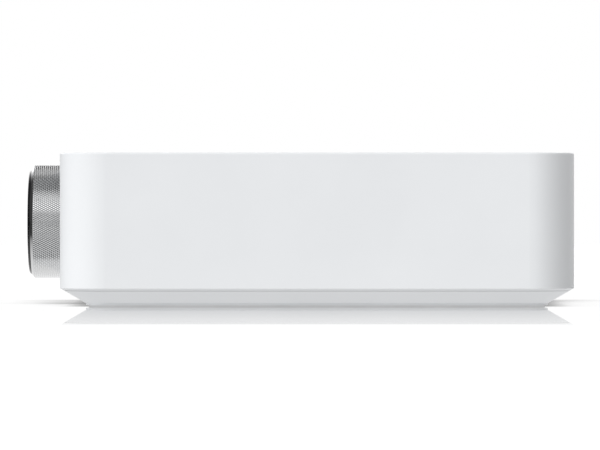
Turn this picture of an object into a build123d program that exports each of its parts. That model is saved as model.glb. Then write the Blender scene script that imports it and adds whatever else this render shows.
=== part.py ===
"""A desktop network music streamer: a rounded white box with one large knurled knob at its front.

Millimetres, +Z up. The origin is the middle of the footprint on the surface that it stands on,
the knob faces -Y and the sockets face +Y.
"""

import os
from math import cos, pi

from build123d import *

# Casing
body_width = 200.0
body_depth = 200.0
body_height = 59.7
corner_radius = 18.0
least_radius = 0.8
wall = 2.6
roof = 2.8
top_edge_radius = 0.7
bevel_drop = 5.85
bevel_inset = 10.2
lip_drop = 0.9
seam_gap = 0.1
floor_thickness = 2.4
tray_edge = 0.7
bevel_wall = 4.1
tongue_gap = 0.25
tongue_wall = 1.6
tongue_height = 3.6
cut_overrun = 1.0

# Foot ring
foot_height = 0.6
foot_setback = 1.2
foot_width = 5.0
foot_groove_depth = 0.7
foot_groove_gap = 0.1

# Case screws and the pillars that they pull down on
case_screw_radius = 1.5
case_screw_length = 14.0
case_head_radius = 2.8
case_head_height = 1.9
case_seat_height = 4.6
case_head_clearance = 0.4
screw_clearance = 0.05
pillar_radius = 4.0
pillar_foot = 9.0
pillar_hole_depth = 12.0
boss_radius = 4.6
boss_gap = 1.4
rib_thickness = 1.6
rib_foot = 24.0
cross_length_share = 1.2
cross_width_share = 0.3
cross_depth_share = 0.55
head_taper = 20.0

# Floor vents and the bare label recess
vent_count = 9
vent_pitch = 5.0
vent_length = 32.0
vent_width = 2.0
vent_x = 52.0
vent_y = 25.0
label_width = 64.0
label_depth = 34.0
label_recess = 0.3
label_radius = 3.0
label_y = -40.0

# Rear bay, a short tunnel that the sockets stand in, and the panel that closes it
window_height = 33.0
window_bottom = 9.6
window_radius = 3.0
window_edge = 0.4
bay_wall = 2.0
panel_recess = 9.6
panel_plateau = 1.8
panel_gap = 0.2
panel_flange = 1.4
panel_hole_gap = 0.2
tongue_side_gap = 1.0

# Circuit boards
board_thickness = 1.6
board_height = 10.0
board_radius = 1.5
board_rear_gap = 0.5
board_side_gap = 3.0
hole_inset = 4.0
rear_hole_setback = 29.0
main_board_depth = 115.0
power_board_width = 30.0
power_board_depth = 112.0
standoff_radius = 3.2
standoff_hole_depth = 5.0
board_screw_radius = 1.25
board_screw_length = 6.0
board_head_radius = 2.5
board_head_height = 1.7
board_hole_gap = 0.3

# Knob
knob_radius = 22.75
knob_length = 14.0
knob_gap = 0.8
knob_drop = 0.4
knob_chamfer = 1.15
knob_back_chamfer = 0.4
knob_land = 0.25
knob_wall = 2.35
glass_gap = 0.1
glass_seat_depth = 2.1
glass_proud = 1.1
glass_rim_radius = 1.2
glass_dome = 0.3
hub_gap = 0.05
hub_web = 4.0
hub_rim = 1.8
hub_setback = 0.6
hub_boss_radius = 6.0
hub_rib_count = 6
hub_rib_thickness = 1.4
hub_rib_depth = 3.0
push_travel = 0.5
push_clearance = 0.3

# Encoder behind the knob
shaft_radius = 3.0
shaft_flat = 1.5
shaft_gap = 0.05
shaft_end_gap = 0.2
bushing_radius = 4.5
bushing_reach = 3.2
bushing_hole_gap = 0.1
washer_radius = 7.0
washer_thickness = 0.5
nut_flats = 12.0
nut_thickness = 2.0
encoder_width = 13.4
encoder_plate = 1.2
encoder_case_depth = 6.6
encoder_case_radius = 0.8
rotor_radius = 5.6
rotor_thickness = 3.4
rotor_gap = 0.2
switch_radius = 3.2
switch_thickness = 1.5
switch_bore_gap = 0.15
switch_nub_radius = 1.4
switch_nub_height = 0.3
switch_end_gap = 0.1

# Encoder board, status light and ribbon
encoder_board_left = 26.0
encoder_board_right = 46.0
encoder_board_lift = 8.925
encoder_boss_radius = 3.0
encoder_boss_x = 20.0
encoder_boss_lens_gap = 7.5
lens_x = 37.0
lens_radius = 1.1
lens_gap = 0.1
lens_flange_radius = 2.0
lens_flange = 0.8
lens_led_gap = 0.2
led_width = 3.0
led_height = 1.4
ribbon_x = 8.0
ribbon_width = 12.0
ribbon_thickness = 0.3
ribbon_bend = 6.0
ribbon_rise = 1.2
plug_width = 16.0
plug_depth = 5.0
plug_height = 2.6
plug_drop = 5.0

# Mains inlet and reset button
inlet_width = 24.0
inlet_height = 15.5
inlet_depth = 16.0
inlet_nose_width = 20.0
inlet_nose_height = 11.0
inlet_nose_radius = 2.0
inlet_nose_proud = 0.8
inlet_centre = 8.9
inlet_lobe_radius = 3.95
inlet_lobe_x = 3.9
inlet_waist = 6.4
inlet_bore = 12.0
inlet_pin_x = 4.3
inlet_pin_radius = 1.18
inlet_pin_length = 9.5
inlet_pin_tail = 3.0
reset_width = 5.8
reset_height = 6.0
reset_depth = 6.0
reset_centre = 3.6
reset_radius = 1.9
reset_gap = 0.15
reset_proud = 0.9
reset_flange_radius = 2.6
reset_flange = 0.8
reset_flange_gap = 0.1
reset_stem_radius = 1.1
reset_stem = 4.0
reset_travel = 0.6
reset_end_gap = 0.1
reset_crown = 0.3

# Network socket
network_width = 16.0
network_height = 13.5
network_depth = 18.0
network_skin = 0.4
network_proud = 0.8
network_window_width = 12.8
network_window_height = 10.6
network_bore_width = 11.8
network_bore_height = 6.9
network_bore_depth = 13.0
network_bore_rise = 1.5
network_key_width = 6.3
network_key_height = 1.5
network_latch_width = 3.3
network_latch_height = 1.3
contact_count = 8
contact_pitch = 1.02
contact_width = 0.45
contact_thickness = 0.3
contact_length = 8.5
contact_lift = 0.9
contact_setback = 2.0

# USB socket
usb_width = 14.2
usb_height = 6.4
usb_depth = 14.0
usb_skin = 0.4
usb_radius = 0.9
usb_proud = 0.9
usb_tongue_width = 11.1
usb_tongue_height = 1.9
usb_tongue_length = 9.0
usb_tongue_rise = 3.4
usb_block = 4.0

# Optical socket
optical_width = 12.0
optical_height = 11.4
optical_depth = 13.0
optical_proud = 0.6
optical_bore = 8.2
optical_bore_rise = 1.3
optical_bore_depth = 10.0
optical_lip = 0.5
optical_lip_width = 0.35
flap_gap = 0.15
flap_thickness = 0.8
flap_head_gap = 0.2
flap_pin_radius = 0.4
flap_pin_length = 0.9
flap_pin_gap = 0.06
flap_lip_gap = 0.05

# Phono sockets
phono_columns = 3
phono_width = 11.5
phono_depth = 12.0
phono_first = 7.6
phono_pitch = 15.0
phono_sleeve_radius = 4.15
phono_sleeve_wall = 0.85
phono_sleeve_length = 9.0
phono_sleeve_root = 4.0
phono_root_step = 0.45
phono_collar_radius = 5.1
phono_collar = 1.2
phono_core_gap = 0.05
phono_core_setback = 0.7
phono_contact_radius = 1.95
phono_contact_wall = 0.35
jack_screw_radius = 1.2
jack_screw_length = 7.0
jack_head_radius = 2.2
jack_head_height = 1.4

# Parts on the main board
processor_width = 24.0
processor_height = 2.2
processor_share = (-0.06, -0.08)
sink_width = 36.0
sink_base = 2.5
sink_height = 12.0
sink_fins = 9
sink_fin = 1.2
wifi_width = 22.0
wifi_depth = 16.0
wifi_height = 2.6
wifi_share = (0.3, -0.36)
chip_height = 1.3
chip_width = 7.0
chip_depth = 9.0
chip_shares = ((0.08, 0.3), (0.2, 0.3), (0.32, 0.3), (-0.32, -0.28))
capacitor_radius = 3.6
capacitor_height = 10.5
capacitor_top_edge = 0.5
capacitor_pitch = 10.0
capacitor_row_shares = ((0.235, 0.19), (0.29, 0.1), (-0.38, 0.0))
capacitor_row_count = 4
capacitor_pair_count = 2
magnetics_width = 15.0
magnetics_depth = 12.0
magnetics_height = 6.5
magnetics_gap = 3.0
magnetics_screw_gap = 0.5

# Parts on the power board
filter_width = 14.0
filter_depth = 12.0
filter_height = 15.0
filter_share = 0.24
bulk_radius = 8.0
bulk_height = 24.0
bulk_share = 0.09
coil_width = 24.0
coil_depth = 22.0
coil_height = 19.0
coil_core = 6.0
coil_share = -0.12
output_radius = 5.0
output_height = 15.0
output_pitch = 12.5
output_share = -0.29
fin_plate_width = 22.0
fin_plate_depth = 6.0
fin_plate_height = 20.0
fin_plate_wall = 1.6
fin_plate_share = -0.375

# Lead between the two boards
lead_radius = 0.85
lead_pitch = 2.5
lead_arch = 14.0
lead_bend = 13.0
lead_plug_width = 8.0
lead_plug_depth = 6.0
lead_plug_height = 7.0
lead_plug_inset = 12.0
lead_plug_setback = 6.0

# Aerials on the right-hand wall
aerial_length = 34.0
aerial_height = 9.0
aerial_thickness = 0.8
aerial_z = 38.0
aerial_y_share = (-0.26, 0.1)
aerial_lead_radius = 0.6
aerial_lead_rise = 9.0
aerial_lead_start = 5.0
aerial_lead_bend = 5.0
aerial_lead_run = 11.0
aerial_lead_lift = 3.0

# Heights of the casing, worked out from its sizes
bevel_foot = foot_height + tray_edge
bevel_top = bevel_foot + bevel_drop
bevel_run_share = bevel_inset / bevel_drop
shell_foot = bevel_top - lip_drop
rim_height = shell_foot - seam_gap
floor_top = foot_height + floor_thickness
roof_under = body_height - roof
knob_z = (bevel_top + body_height) / 2 - knob_drop
board_top = board_height + board_thickness
encoder_board_height = 2 * (knob_z - board_top - encoder_board_lift)

# Depths of the walls and the panel
front_out = -body_depth / 2
front_in = front_out + wall
rear_in = body_depth / 2 - wall
side_in = body_width / 2 - wall
panel_face = body_depth / 2 - panel_recess
bay_end = panel_face - panel_plateau
panel_back = bay_end - panel_flange
window_middle = window_bottom + window_height / 2

# Pillars stand just inside the foot ring, and the boards fill the room between them
foot_inset = bevel_inset + foot_setback
pillar_inset = foot_inset + foot_width + case_head_radius + 3 * case_head_clearance
pillar_x = body_width / 2 - pillar_inset
pillar_y = body_depth / 2 - pillar_inset
pillar_places = [(x, y) for x in (-pillar_x, pillar_x) for y in (-pillar_y, pillar_y)]
boards_half = pillar_x - boss_radius - boss_gap
power_board_x = -boards_half + power_board_width / 2
main_board_width = 2 * boards_half - power_board_width - board_side_gap
main_board_x = boards_half - main_board_width / 2
board_rear = panel_back - board_rear_gap
main_board_y = board_rear - main_board_depth / 2
power_board_y = board_rear - power_board_depth / 2

# Sockets share out the rear edge of the boards from left to right
socket_widths = [
    inlet_width,
    reset_width,
    network_width,
    usb_width,
    optical_width,
    *[phono_width] * phono_columns,
]
socket_gap = (2 * boards_half - sum(socket_widths)) / (len(socket_widths) + 1)
socket_places = []
socket_edge = -boards_half
for socket_width in socket_widths:
    socket_places.append(socket_edge + socket_gap + socket_width / 2)
    socket_edge += socket_gap + socket_width
inlet_x, reset_x, network_x, usb_x, optical_x, *phono_xs = socket_places
window_width = 2 * boards_half + 2 * panel_gap

# Depths of the knob and the encoder, front to back
knob_back = front_out - knob_gap
knob_front = knob_back - knob_length
glass_seat = knob_front + glass_seat_depth
knob_bore = knob_radius - knob_wall
glass_pocket = knob_radius - knob_chamfer - knob_land
glass_radius = glass_pocket - glass_gap
hub_back = glass_seat + hub_web
boss_back = front_out - bushing_reach - push_travel - push_clearance
shaft_front = glass_seat + hub_web / 2
case_front = front_in + encoder_plate
case_back = case_front + encoder_case_depth
switch_face = case_back - switch_thickness - switch_nub_height
shaft_back = switch_face - push_travel - switch_end_gap
knob_axis = Axis((0, 0, knob_z), (0, 1, 0))


def bevel_inset_at(height):
    """How far the bevel stands in from the walls at a height."""
    return (bevel_top - height) * bevel_run_share


def casing_outline(inset, mode=Mode.ADD):
    """The casing's rounded plan, drawn in by an inset."""
    RectangleRounded(
        body_width - 2 * inset,
        body_depth - 2 * inset,
        max(corner_radius - inset, least_radius),
        mode=mode,
    )


def upright(y):
    """The upright plane at depth y, with X across and Z up. Extruding runs towards the front."""
    return Plane.XZ.offset(-y)


def hole_places(x, y, width, depth):
    """The four fixing holes of a board, clear of the sockets on its rear edge."""
    across = (x - width / 2 + hole_inset, x + width / 2 - hole_inset)
    along = (y - depth / 2 + hole_inset, y + depth / 2 - rear_hole_setback)
    return [(a, b) for a in across for b in along]


def shares_on(x, y, width, depth, shares):
    """Places on a board given as shares of its width and depth from its middle."""
    return [(x + width * across, y + depth * along) for across, along in shares]


def row_places(x, y, pitch, across_count, along_count):
    """Evenly spaced places in a row or column about its middle."""
    first_x = x - pitch * (across_count - 1) / 2
    first_y = y - pitch * (along_count - 1) / 2
    return [
        (first_x + pitch * i, first_y + pitch * j)
        for i in range(across_count)
        for j in range(along_count)
    ]


def screw_group(seat, places, radius, length, head_radius, head_height):
    """Cross-recessed screws on a seat plane whose normal points along their shanks."""
    with BuildPart() as screws:
        with BuildSketch(seat):
            with Locations(*places):
                Circle(head_radius)
        extrude(amount=-head_height, taper=head_taper)
        with BuildSketch(seat):
            with Locations(*places):
                Circle(radius)
        extrude(amount=length)
        with BuildSketch(seat.offset(-head_height)):
            with Locations(*places):
                Rectangle(head_radius * cross_length_share, head_radius * cross_width_share)
                Rectangle(head_radius * cross_width_share, head_radius * cross_length_share)
        extrude(amount=head_height * cross_depth_share, mode=Mode.SUBTRACT)
    return screws.part


def can_group(places, foot, radius, height):
    """Round capacitors standing on a board, with a soft top edge."""
    with BuildPart() as cans:
        with BuildSketch(Plane.XY.offset(foot)):
            with Locations(*places):
                Circle(radius)
        extrude(amount=height)
        chamfer(cans.edges().group_by(Axis.Z)[-1], capacitor_top_edge)
    return cans.part


def box_group(places, foot, width, depth, height):
    """Plain upright blocks standing on a board."""
    with BuildPart() as blocks:
        with BuildSketch(Plane.XY.offset(foot)):
            with Locations(*places):
                Rectangle(width, depth)
        extrude(amount=height)
    return blocks.part


def save(part, name):
    """Labels a finished piece and writes it as its own file."""
    part.label = name
    export_step(part, f"parts/{name}.step")


os.makedirs("parts", exist_ok=True)

main_holes = hole_places(main_board_x, main_board_y, main_board_width, main_board_depth)
power_holes = hole_places(power_board_x, power_board_y, power_board_width, power_board_depth)
encoder_boss_places = [(-encoder_boss_x, knob_z), (lens_x - encoder_boss_lens_gap, knob_z)]
lens_place = (lens_x, knob_z)

# Top shell: walls and roof in one moulding, with the rear bay that the panel closes
with BuildPart() as top_shell:
    with BuildSketch(Plane.XY.offset(shell_foot)):
        casing_outline(bevel_inset_at(shell_foot))
    with BuildSketch(Plane.XY.offset(bevel_top)):
        casing_outline(0)
    loft(ruled=True)
    with BuildSketch(Plane.XY.offset(bevel_top)):
        casing_outline(0)
    extrude(amount=body_height - bevel_top)
    fillet(top_shell.faces().sort_by(Axis.Z)[-1].edges(), top_edge_radius)
    with BuildSketch(Plane.XY.offset(shell_foot)):
        casing_outline(wall)
    extrude(amount=roof_under - shell_foot, mode=Mode.SUBTRACT)
    with BuildSketch(upright(bay_end)):
        with Locations((0, window_middle)):
            RectangleRounded(
                window_width + 2 * bay_wall,
                window_height + 2 * bay_wall,
                window_radius + bay_wall,
            )
    extrude(amount=bay_end - rear_in)
    with BuildSketch(upright(bay_end - cut_overrun)):
        with Locations((0, window_middle)):
            RectangleRounded(window_width, window_height, window_radius)
    extrude(amount=bay_end - body_depth / 2 - 2 * cut_overrun, mode=Mode.SUBTRACT)
    chamfer(top_shell.faces().sort_by(Axis.Y)[-1].inner_wires()[0].edges(), window_edge)
    with BuildSketch(upright(front_in + cut_overrun)):
        with Locations((0, knob_z)):
            Circle(bushing_radius + bushing_hole_gap)
        with Locations(lens_place):
            Circle(lens_radius + lens_gap)
    extrude(amount=wall + 2 * cut_overrun, mode=Mode.SUBTRACT)
    # Screw pillars hang from the roof and are webbed to the nearest walls
    with BuildSketch(Plane.XY.offset(pillar_foot)):
        with Locations(*pillar_places):
            Circle(pillar_radius)
    extrude(amount=roof_under - pillar_foot)
    for pillar_side_x, pillar_side_y in pillar_places:
        side = 1 if pillar_side_x > 0 else -1
        end = 1 if pillar_side_y > 0 else -1
        with BuildSketch(Plane.XY.offset(rib_foot)):
            with Locations(((pillar_side_x + side * side_in) / 2, pillar_side_y)):
                Rectangle(side_in - pillar_x, rib_thickness)
            with Locations((pillar_side_x, (pillar_side_y + end * rear_in) / 2)):
                Rectangle(rib_thickness, rear_in - pillar_y)
        extrude(amount=roof_under - rib_foot)
    with BuildSketch(Plane.XY.offset(pillar_foot)):
        with Locations(*pillar_places):
            Circle(case_screw_radius + screw_clearance)
    extrude(amount=pillar_hole_depth, mode=Mode.SUBTRACT)
    # Two bosses behind the front wall carry the encoder board
    with BuildSketch(upright(front_in)):
        with Locations(*encoder_boss_places):
            Circle(encoder_boss_radius)
    extrude(amount=front_in - case_back)
    with BuildSketch(upright(case_back)):
        with Locations(*encoder_boss_places):
            Circle(board_screw_radius + screw_clearance)
    extrude(amount=standoff_hole_depth, mode=Mode.SUBTRACT)
save(top_shell.part, "top_shell")

# Base tray: bevelled skirt, floor, locating tongue, screw bosses and board standoffs
with BuildPart() as base_tray:
    with BuildSketch(Plane.XY.offset(foot_height)):
        casing_outline(bevel_inset)
    extrude(amount=tray_edge)
    with BuildSketch(Plane.XY.offset(bevel_foot)):
        casing_outline(bevel_inset)
    with BuildSketch(Plane.XY.offset(rim_height)):
        casing_outline(bevel_inset_at(rim_height))
    loft(ruled=True)
    with BuildSketch(Plane.XY.offset(floor_top)):
        casing_outline(bevel_inset_at(floor_top) + bevel_wall)
    with BuildSketch(Plane.XY.offset(rim_height)):
        casing_outline(bevel_inset_at(rim_height) + bevel_wall)
    loft(ruled=True, mode=Mode.SUBTRACT)
    with BuildSketch(Plane.XY.offset(rim_height)):
        casing_outline(wall + tongue_gap)
        casing_outline(wall + tongue_gap + tongue_wall, mode=Mode.SUBTRACT)
    extrude(amount=tongue_height)
    tongue_cut_width = window_width + 2 * bay_wall + 2 * tongue_side_gap
    with BuildSketch(Plane.XY.offset(rim_height)):
        with Locations((0, rear_in - wall)):
            Rectangle(tongue_cut_width, 2 * wall)
    extrude(amount=tongue_height + cut_overrun, mode=Mode.SUBTRACT)
    with BuildSketch(Plane.XY.offset(floor_top)):
        with Locations(*pillar_places):
            Circle(boss_radius)
    extrude(amount=pillar_foot - floor_top)
    with BuildSketch(Plane.XY.offset(floor_top)):
        with Locations(*main_holes, *power_holes):
            Circle(standoff_radius)
    extrude(amount=board_height - floor_top)
    with BuildSketch(Plane.XY.offset(foot_height)):
        with Locations(*pillar_places):
            Circle(case_screw_radius + case_head_clearance)
    extrude(amount=pillar_foot - foot_height, mode=Mode.SUBTRACT)
    with BuildSketch(Plane.XY.offset(foot_height)):
        with Locations(*pillar_places):
            Circle(case_head_radius + case_head_clearance)
    extrude(amount=case_seat_height - foot_height, mode=Mode.SUBTRACT)
    with BuildSketch(Plane.XY.offset(board_height)):
        with Locations(*main_holes, *power_holes):
            Circle(board_screw_radius + screw_clearance)
    extrude(amount=-standoff_hole_depth, mode=Mode.SUBTRACT)
    with BuildSketch(Plane.XY.offset(foot_height)):
        casing_outline(foot_inset - foot_groove_gap)
        casing_outline(foot_inset + foot_width + foot_groove_gap, mode=Mode.SUBTRACT)
    extrude(amount=foot_groove_depth, mode=Mode.SUBTRACT)
    with BuildSketch(Plane.XY.offset(foot_height)):
        with Locations((-vent_x, vent_y), (vent_x, vent_y)):
            with GridLocations(vent_length, vent_pitch, 1, vent_count):
                SlotOverall(vent_length, vent_width)
    extrude(amount=floor_thickness, mode=Mode.SUBTRACT)
    with BuildSketch(Plane.XY.offset(foot_height)):
        with Locations((0, label_y)):
            RectangleRounded(label_width, label_depth, label_radius)
    extrude(amount=label_recess, mode=Mode.SUBTRACT)
save(base_tray.part, "base_tray")

# Foot ring: a soft rounded frame bedded in a groove under the floor
with BuildPart() as foot_ring:
    with BuildSketch():
        casing_outline(foot_inset)
        casing_outline(foot_inset + foot_width, mode=Mode.SUBTRACT)
    extrude(amount=foot_height + foot_groove_depth)
save(foot_ring.part, "foot_ring")

# Screws
case_screws = screw_group(
    Plane.XY.offset(case_seat_height),
    pillar_places,
    case_screw_radius,
    case_screw_length,
    case_head_radius,
    case_head_height,
)
save(case_screws, "case_screws")

board_screws_seat = Plane(origin=(0, 0, board_top), x_dir=(1, 0, 0), z_dir=(0, 0, -1))
for screws_name, screw_places in (
    ("main_board_screws", main_holes),
    ("power_board_screws", power_holes),
):
    board_screws = screw_group(
        board_screws_seat,
        [(x, -y) for x, y in screw_places],
        board_screw_radius,
        board_screw_length,
        board_head_radius,
        board_head_height,
    )
    save(board_screws, screws_name)

encoder_board_screws = screw_group(
    upright(case_back + board_thickness),
    encoder_boss_places,
    board_screw_radius,
    board_screw_length,
    board_head_radius,
    board_head_height,
)
save(encoder_board_screws, "encoder_board_screws")

# Knob: a knurled ring, a moulded hub inside it and a domed black glass on its face
with BuildPart() as knob_ring:
    with BuildSketch(Plane.XY.offset(knob_z)):
        with BuildLine():
            Polyline(
                (knob_bore, knob_back),
                (knob_radius - knob_back_chamfer, knob_back),
                (knob_radius, knob_back - knob_back_chamfer),
                (knob_radius, knob_front + knob_chamfer),
                (knob_radius - knob_chamfer, knob_front),
                (glass_pocket, knob_front),
                (glass_pocket, glass_seat),
                (knob_bore, glass_seat),
                close=True,
            )
        make_face()
    revolve(axis=knob_axis)
save(knob_ring.part, "knob_ring")

with BuildPart() as knob_glass:
    face_edge = glass_radius - glass_rim_radius
    face_y = knob_front - glass_proud
    dome_radius = (face_edge**2 + glass_dome**2) / (2 * glass_dome)
    with BuildSketch(Plane.XY.offset(knob_z)):
        with BuildLine():
            Polyline(
                (0, face_y - glass_dome),
                (0, glass_seat),
                (glass_radius, glass_seat),
                (glass_radius, face_y + glass_rim_radius),
            )
            rim_slant = glass_rim_radius * (1 - cos(pi / 4))
            ThreePointArc(
                (glass_radius, face_y + glass_rim_radius),
                (glass_radius - rim_slant, face_y + rim_slant),
                (face_edge, face_y),
            )
            dome_half = face_edge / 2
            dome_middle = (dome_radius**2 - dome_half**2) ** 0.5 - (dome_radius - glass_dome)
            ThreePointArc(
                (face_edge, face_y),
                (dome_half, face_y - dome_middle),
                (0, face_y - glass_dome),
            )
        make_face()
    revolve(axis=knob_axis)
save(knob_glass.part, "knob_glass")

with BuildPart() as knob_hub:
    with BuildSketch(upright(hub_back)):
        with Locations((0, knob_z)):
            Circle(knob_bore - hub_gap)
    extrude(amount=hub_web)
    with BuildSketch(upright(knob_back - hub_setback)):
        with Locations((0, knob_z)):
            Circle(knob_bore - hub_gap)
            Circle(knob_bore - hub_gap - hub_rim, mode=Mode.SUBTRACT)
    extrude(amount=knob_back - hub_setback - hub_back)
    with BuildSketch(upright(boss_back)):
        with Locations((0, knob_z)):
            Circle(hub_boss_radius)
    extrude(amount=boss_back - hub_back)
    with BuildSketch(upright(hub_back + hub_rib_depth)):
        with Locations((0, knob_z)):
            with PolarLocations(knob_bore / 2, hub_rib_count):
                Rectangle(knob_bore - hub_rim, hub_rib_thickness)
    extrude(amount=hub_rib_depth)
    with BuildSketch(upright(boss_back)):
        with Locations((0, knob_z)):
            Circle(shaft_radius + shaft_gap)
        with Locations((0, knob_z + shaft_flat + shaft_gap + shaft_radius)):
            Rectangle(2 * shaft_radius + 2 * cut_overrun, 2 * shaft_radius, mode=Mode.SUBTRACT)
    extrude(amount=boss_back - shaft_front + shaft_end_gap, mode=Mode.SUBTRACT)
save(knob_hub.part, "knob_hub")

# Encoder: the shaft is keyed in the knob and slides through its rotor when pressed
with BuildPart() as encoder_shaft:
    with BuildSketch(upright(shaft_back)):
        with Locations((0, knob_z)):
            Circle(shaft_radius)
    extrude(amount=shaft_back - shaft_front)
    front_flat_length = boss_back - shaft_front
    rear_flat_length = shaft_back - case_front + push_travel
    for flat_start, flat_length in (
        (boss_back, front_flat_length),
        (shaft_back, rear_flat_length),
    ):
        with BuildSketch(upright(flat_start)):
            with Locations((0, knob_z + shaft_flat + shaft_radius)):
                Rectangle(2 * shaft_radius + 2 * cut_overrun, 2 * shaft_radius)
        extrude(amount=flat_length, mode=Mode.SUBTRACT)
save(encoder_shaft.part, "encoder_shaft")

with BuildPart() as encoder_rotor:
    with BuildSketch(upright(case_front + rotor_gap + rotor_thickness)):
        with Locations((0, knob_z)):
            Circle(rotor_radius)
    extrude(amount=rotor_thickness)
    with BuildSketch(upright(case_front + rotor_gap + rotor_thickness)):
        with Locations((0, knob_z)):
            Circle(shaft_radius + shaft_gap)
        with Locations((0, knob_z + shaft_flat + shaft_gap + shaft_radius)):
            Rectangle(2 * shaft_radius + 2 * cut_overrun, 2 * shaft_radius, mode=Mode.SUBTRACT)
    extrude(amount=rotor_thickness, mode=Mode.SUBTRACT)
save(encoder_rotor.part, "encoder_rotor")

with BuildPart() as encoder_frame:
    with BuildSketch(upright(case_front)):
        with Locations((0, knob_z)):
            RectangleRounded(encoder_width, encoder_width, encoder_case_radius)
    extrude(amount=encoder_plate)
    with BuildSketch(upright(front_in)):
        with Locations((0, knob_z)):
            Circle(bushing_radius)
    extrude(amount=wall + bushing_reach)
    with BuildSketch(upright(case_front)):
        with Locations((0, knob_z)):
            Circle(shaft_radius + shaft_gap)
    extrude(amount=encoder_plate + wall + bushing_reach, mode=Mode.SUBTRACT)
save(encoder_frame.part, "encoder_frame")

with BuildPart() as encoder_case:
    with BuildSketch(upright(case_back)):
        with Locations((0, knob_z)):
            RectangleRounded(encoder_width, encoder_width, encoder_case_radius)
    extrude(amount=encoder_case_depth)
    with BuildSketch(upright(case_front)):
        with Locations((0, knob_z)):
            Circle(rotor_radius + rotor_gap)
    extrude(amount=-rotor_thickness - 2 * rotor_gap, mode=Mode.SUBTRACT)
    with BuildSketch(upright(case_back)):
        with Locations((0, knob_z)):
            Circle(switch_radius + switch_bore_gap)
    extrude(amount=encoder_case_depth, mode=Mode.SUBTRACT)
save(encoder_case.part, "encoder_case")

with BuildPart() as push_switch:
    with BuildSketch(upright(case_back)):
        with Locations((0, knob_z)):
            Circle(switch_radius)
    extrude(amount=switch_thickness)
    with BuildSketch(upright(case_back)):
        with Locations((0, knob_z)):
            Circle(switch_nub_radius)
    extrude(amount=switch_thickness + switch_nub_height)
save(push_switch.part, "push_switch")

with BuildPart() as encoder_washer:
    with BuildSketch(upright(front_out)):
        with Locations((0, knob_z)):
            Circle(washer_radius)
            Circle(bushing_radius + bushing_hole_gap, mode=Mode.SUBTRACT)
    extrude(amount=washer_thickness)
save(encoder_washer.part, "encoder_washer")

with BuildPart() as encoder_nut:
    with BuildSketch(upright(front_out - washer_thickness)):
        with Locations((0, knob_z)):
            RegularPolygon(nut_flats / 2, 6, major_radius=False)
            Circle(bushing_radius + screw_clearance, mode=Mode.SUBTRACT)
    extrude(amount=nut_thickness)
save(encoder_nut.part, "encoder_nut")

with BuildPart() as encoder_board:
    encoder_board_width = encoder_board_left + encoder_board_right
    encoder_board_x = (encoder_board_right - encoder_board_left) / 2
    with BuildSketch(upright(case_back + board_thickness)):
        with Locations((encoder_board_x, knob_z)):
            RectangleRounded(encoder_board_width, encoder_board_height, board_radius)
        with Locations(*encoder_boss_places):
            Circle(board_screw_radius + board_hole_gap, mode=Mode.SUBTRACT)
    extrude(amount=board_thickness)
save(encoder_board.part, "encoder_board")

# Status light: a clear pipe through the front wall with its lamp on the encoder board
with BuildPart() as status_led:
    with BuildSketch(upright(case_back)):
        with Locations(lens_place):
            Rectangle(led_width, led_width)
    extrude(amount=led_height)
save(status_led.part, "status_led")

with BuildPart() as status_lens:
    lens_back = case_back - led_height - lens_led_gap
    with BuildSketch(upright(lens_back)):
        with Locations(lens_place):
            Circle(lens_radius)
    extrude(amount=lens_back - front_out)
    with BuildSketch(upright(front_in + lens_flange)):
        with Locations(lens_place):
            Circle(lens_flange_radius)
    extrude(amount=lens_flange)
save(status_lens.part, "status_lens")

# Ribbon from the encoder board's socket down to the main board's socket
main_board_front = main_board_y - main_board_depth / 2
encoder_socket_back = case_back + board_thickness + plug_height
ribbon_y = case_back + board_thickness + plug_height / 2
ribbon_z = board_top + ribbon_rise
encoder_socket_foot = knob_z - encoder_board_height / 2
with BuildPart() as ribbon_sockets:
    with BuildSketch(upright(encoder_socket_back)):
        with Locations((ribbon_x, encoder_socket_foot + plug_drop / 2)):
            Rectangle(plug_width, plug_drop)
    extrude(amount=plug_height)
    with BuildSketch(Plane.XY.offset(board_top)):
        with Locations((ribbon_x, main_board_front + plug_depth / 2)):
            Rectangle(plug_width, plug_depth)
    extrude(amount=plug_height)
save(ribbon_sockets.part, "ribbon_sockets")

with BuildPart() as control_ribbon:
    with BuildSketch(Plane.YZ.offset(ribbon_x)):
        with BuildLine() as ribbon_line:
            FilletPolyline(
                (ribbon_y, encoder_socket_foot),
                (ribbon_y, ribbon_z),
                (main_board_front, ribbon_z),
                radius=ribbon_bend,
            )
        trace(ribbon_line.line, line_width=ribbon_thickness)
    extrude(amount=ribbon_width / 2, both=True)
save(control_ribbon.part, "control_ribbon")

# Main and power boards
for board_name, board_x, board_y, board_width, board_depth, board_holes in (
    ("main_board", main_board_x, main_board_y, main_board_width, main_board_depth, main_holes),
    (
        "power_board",
        power_board_x,
        power_board_y,
        power_board_width,
        power_board_depth,
        power_holes,
    ),
):
    with BuildPart() as circuit_board:
        with BuildSketch(Plane.XY.offset(board_height)):
            with Locations((board_x, board_y)):
                RectangleRounded(board_width, board_depth, board_radius)
            with Locations(*board_holes):
                Circle(board_screw_radius + board_hole_gap, mode=Mode.SUBTRACT)
        extrude(amount=board_thickness)
    save(circuit_board.part, board_name)

# Parts on the main board
main_size = (main_board_x, main_board_y, main_board_width, main_board_depth)
processor_place = shares_on(*main_size, [processor_share])[0]
processor = box_group(
    [processor_place], board_top, processor_width, processor_width, processor_height
)
save(processor, "processor")

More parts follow.
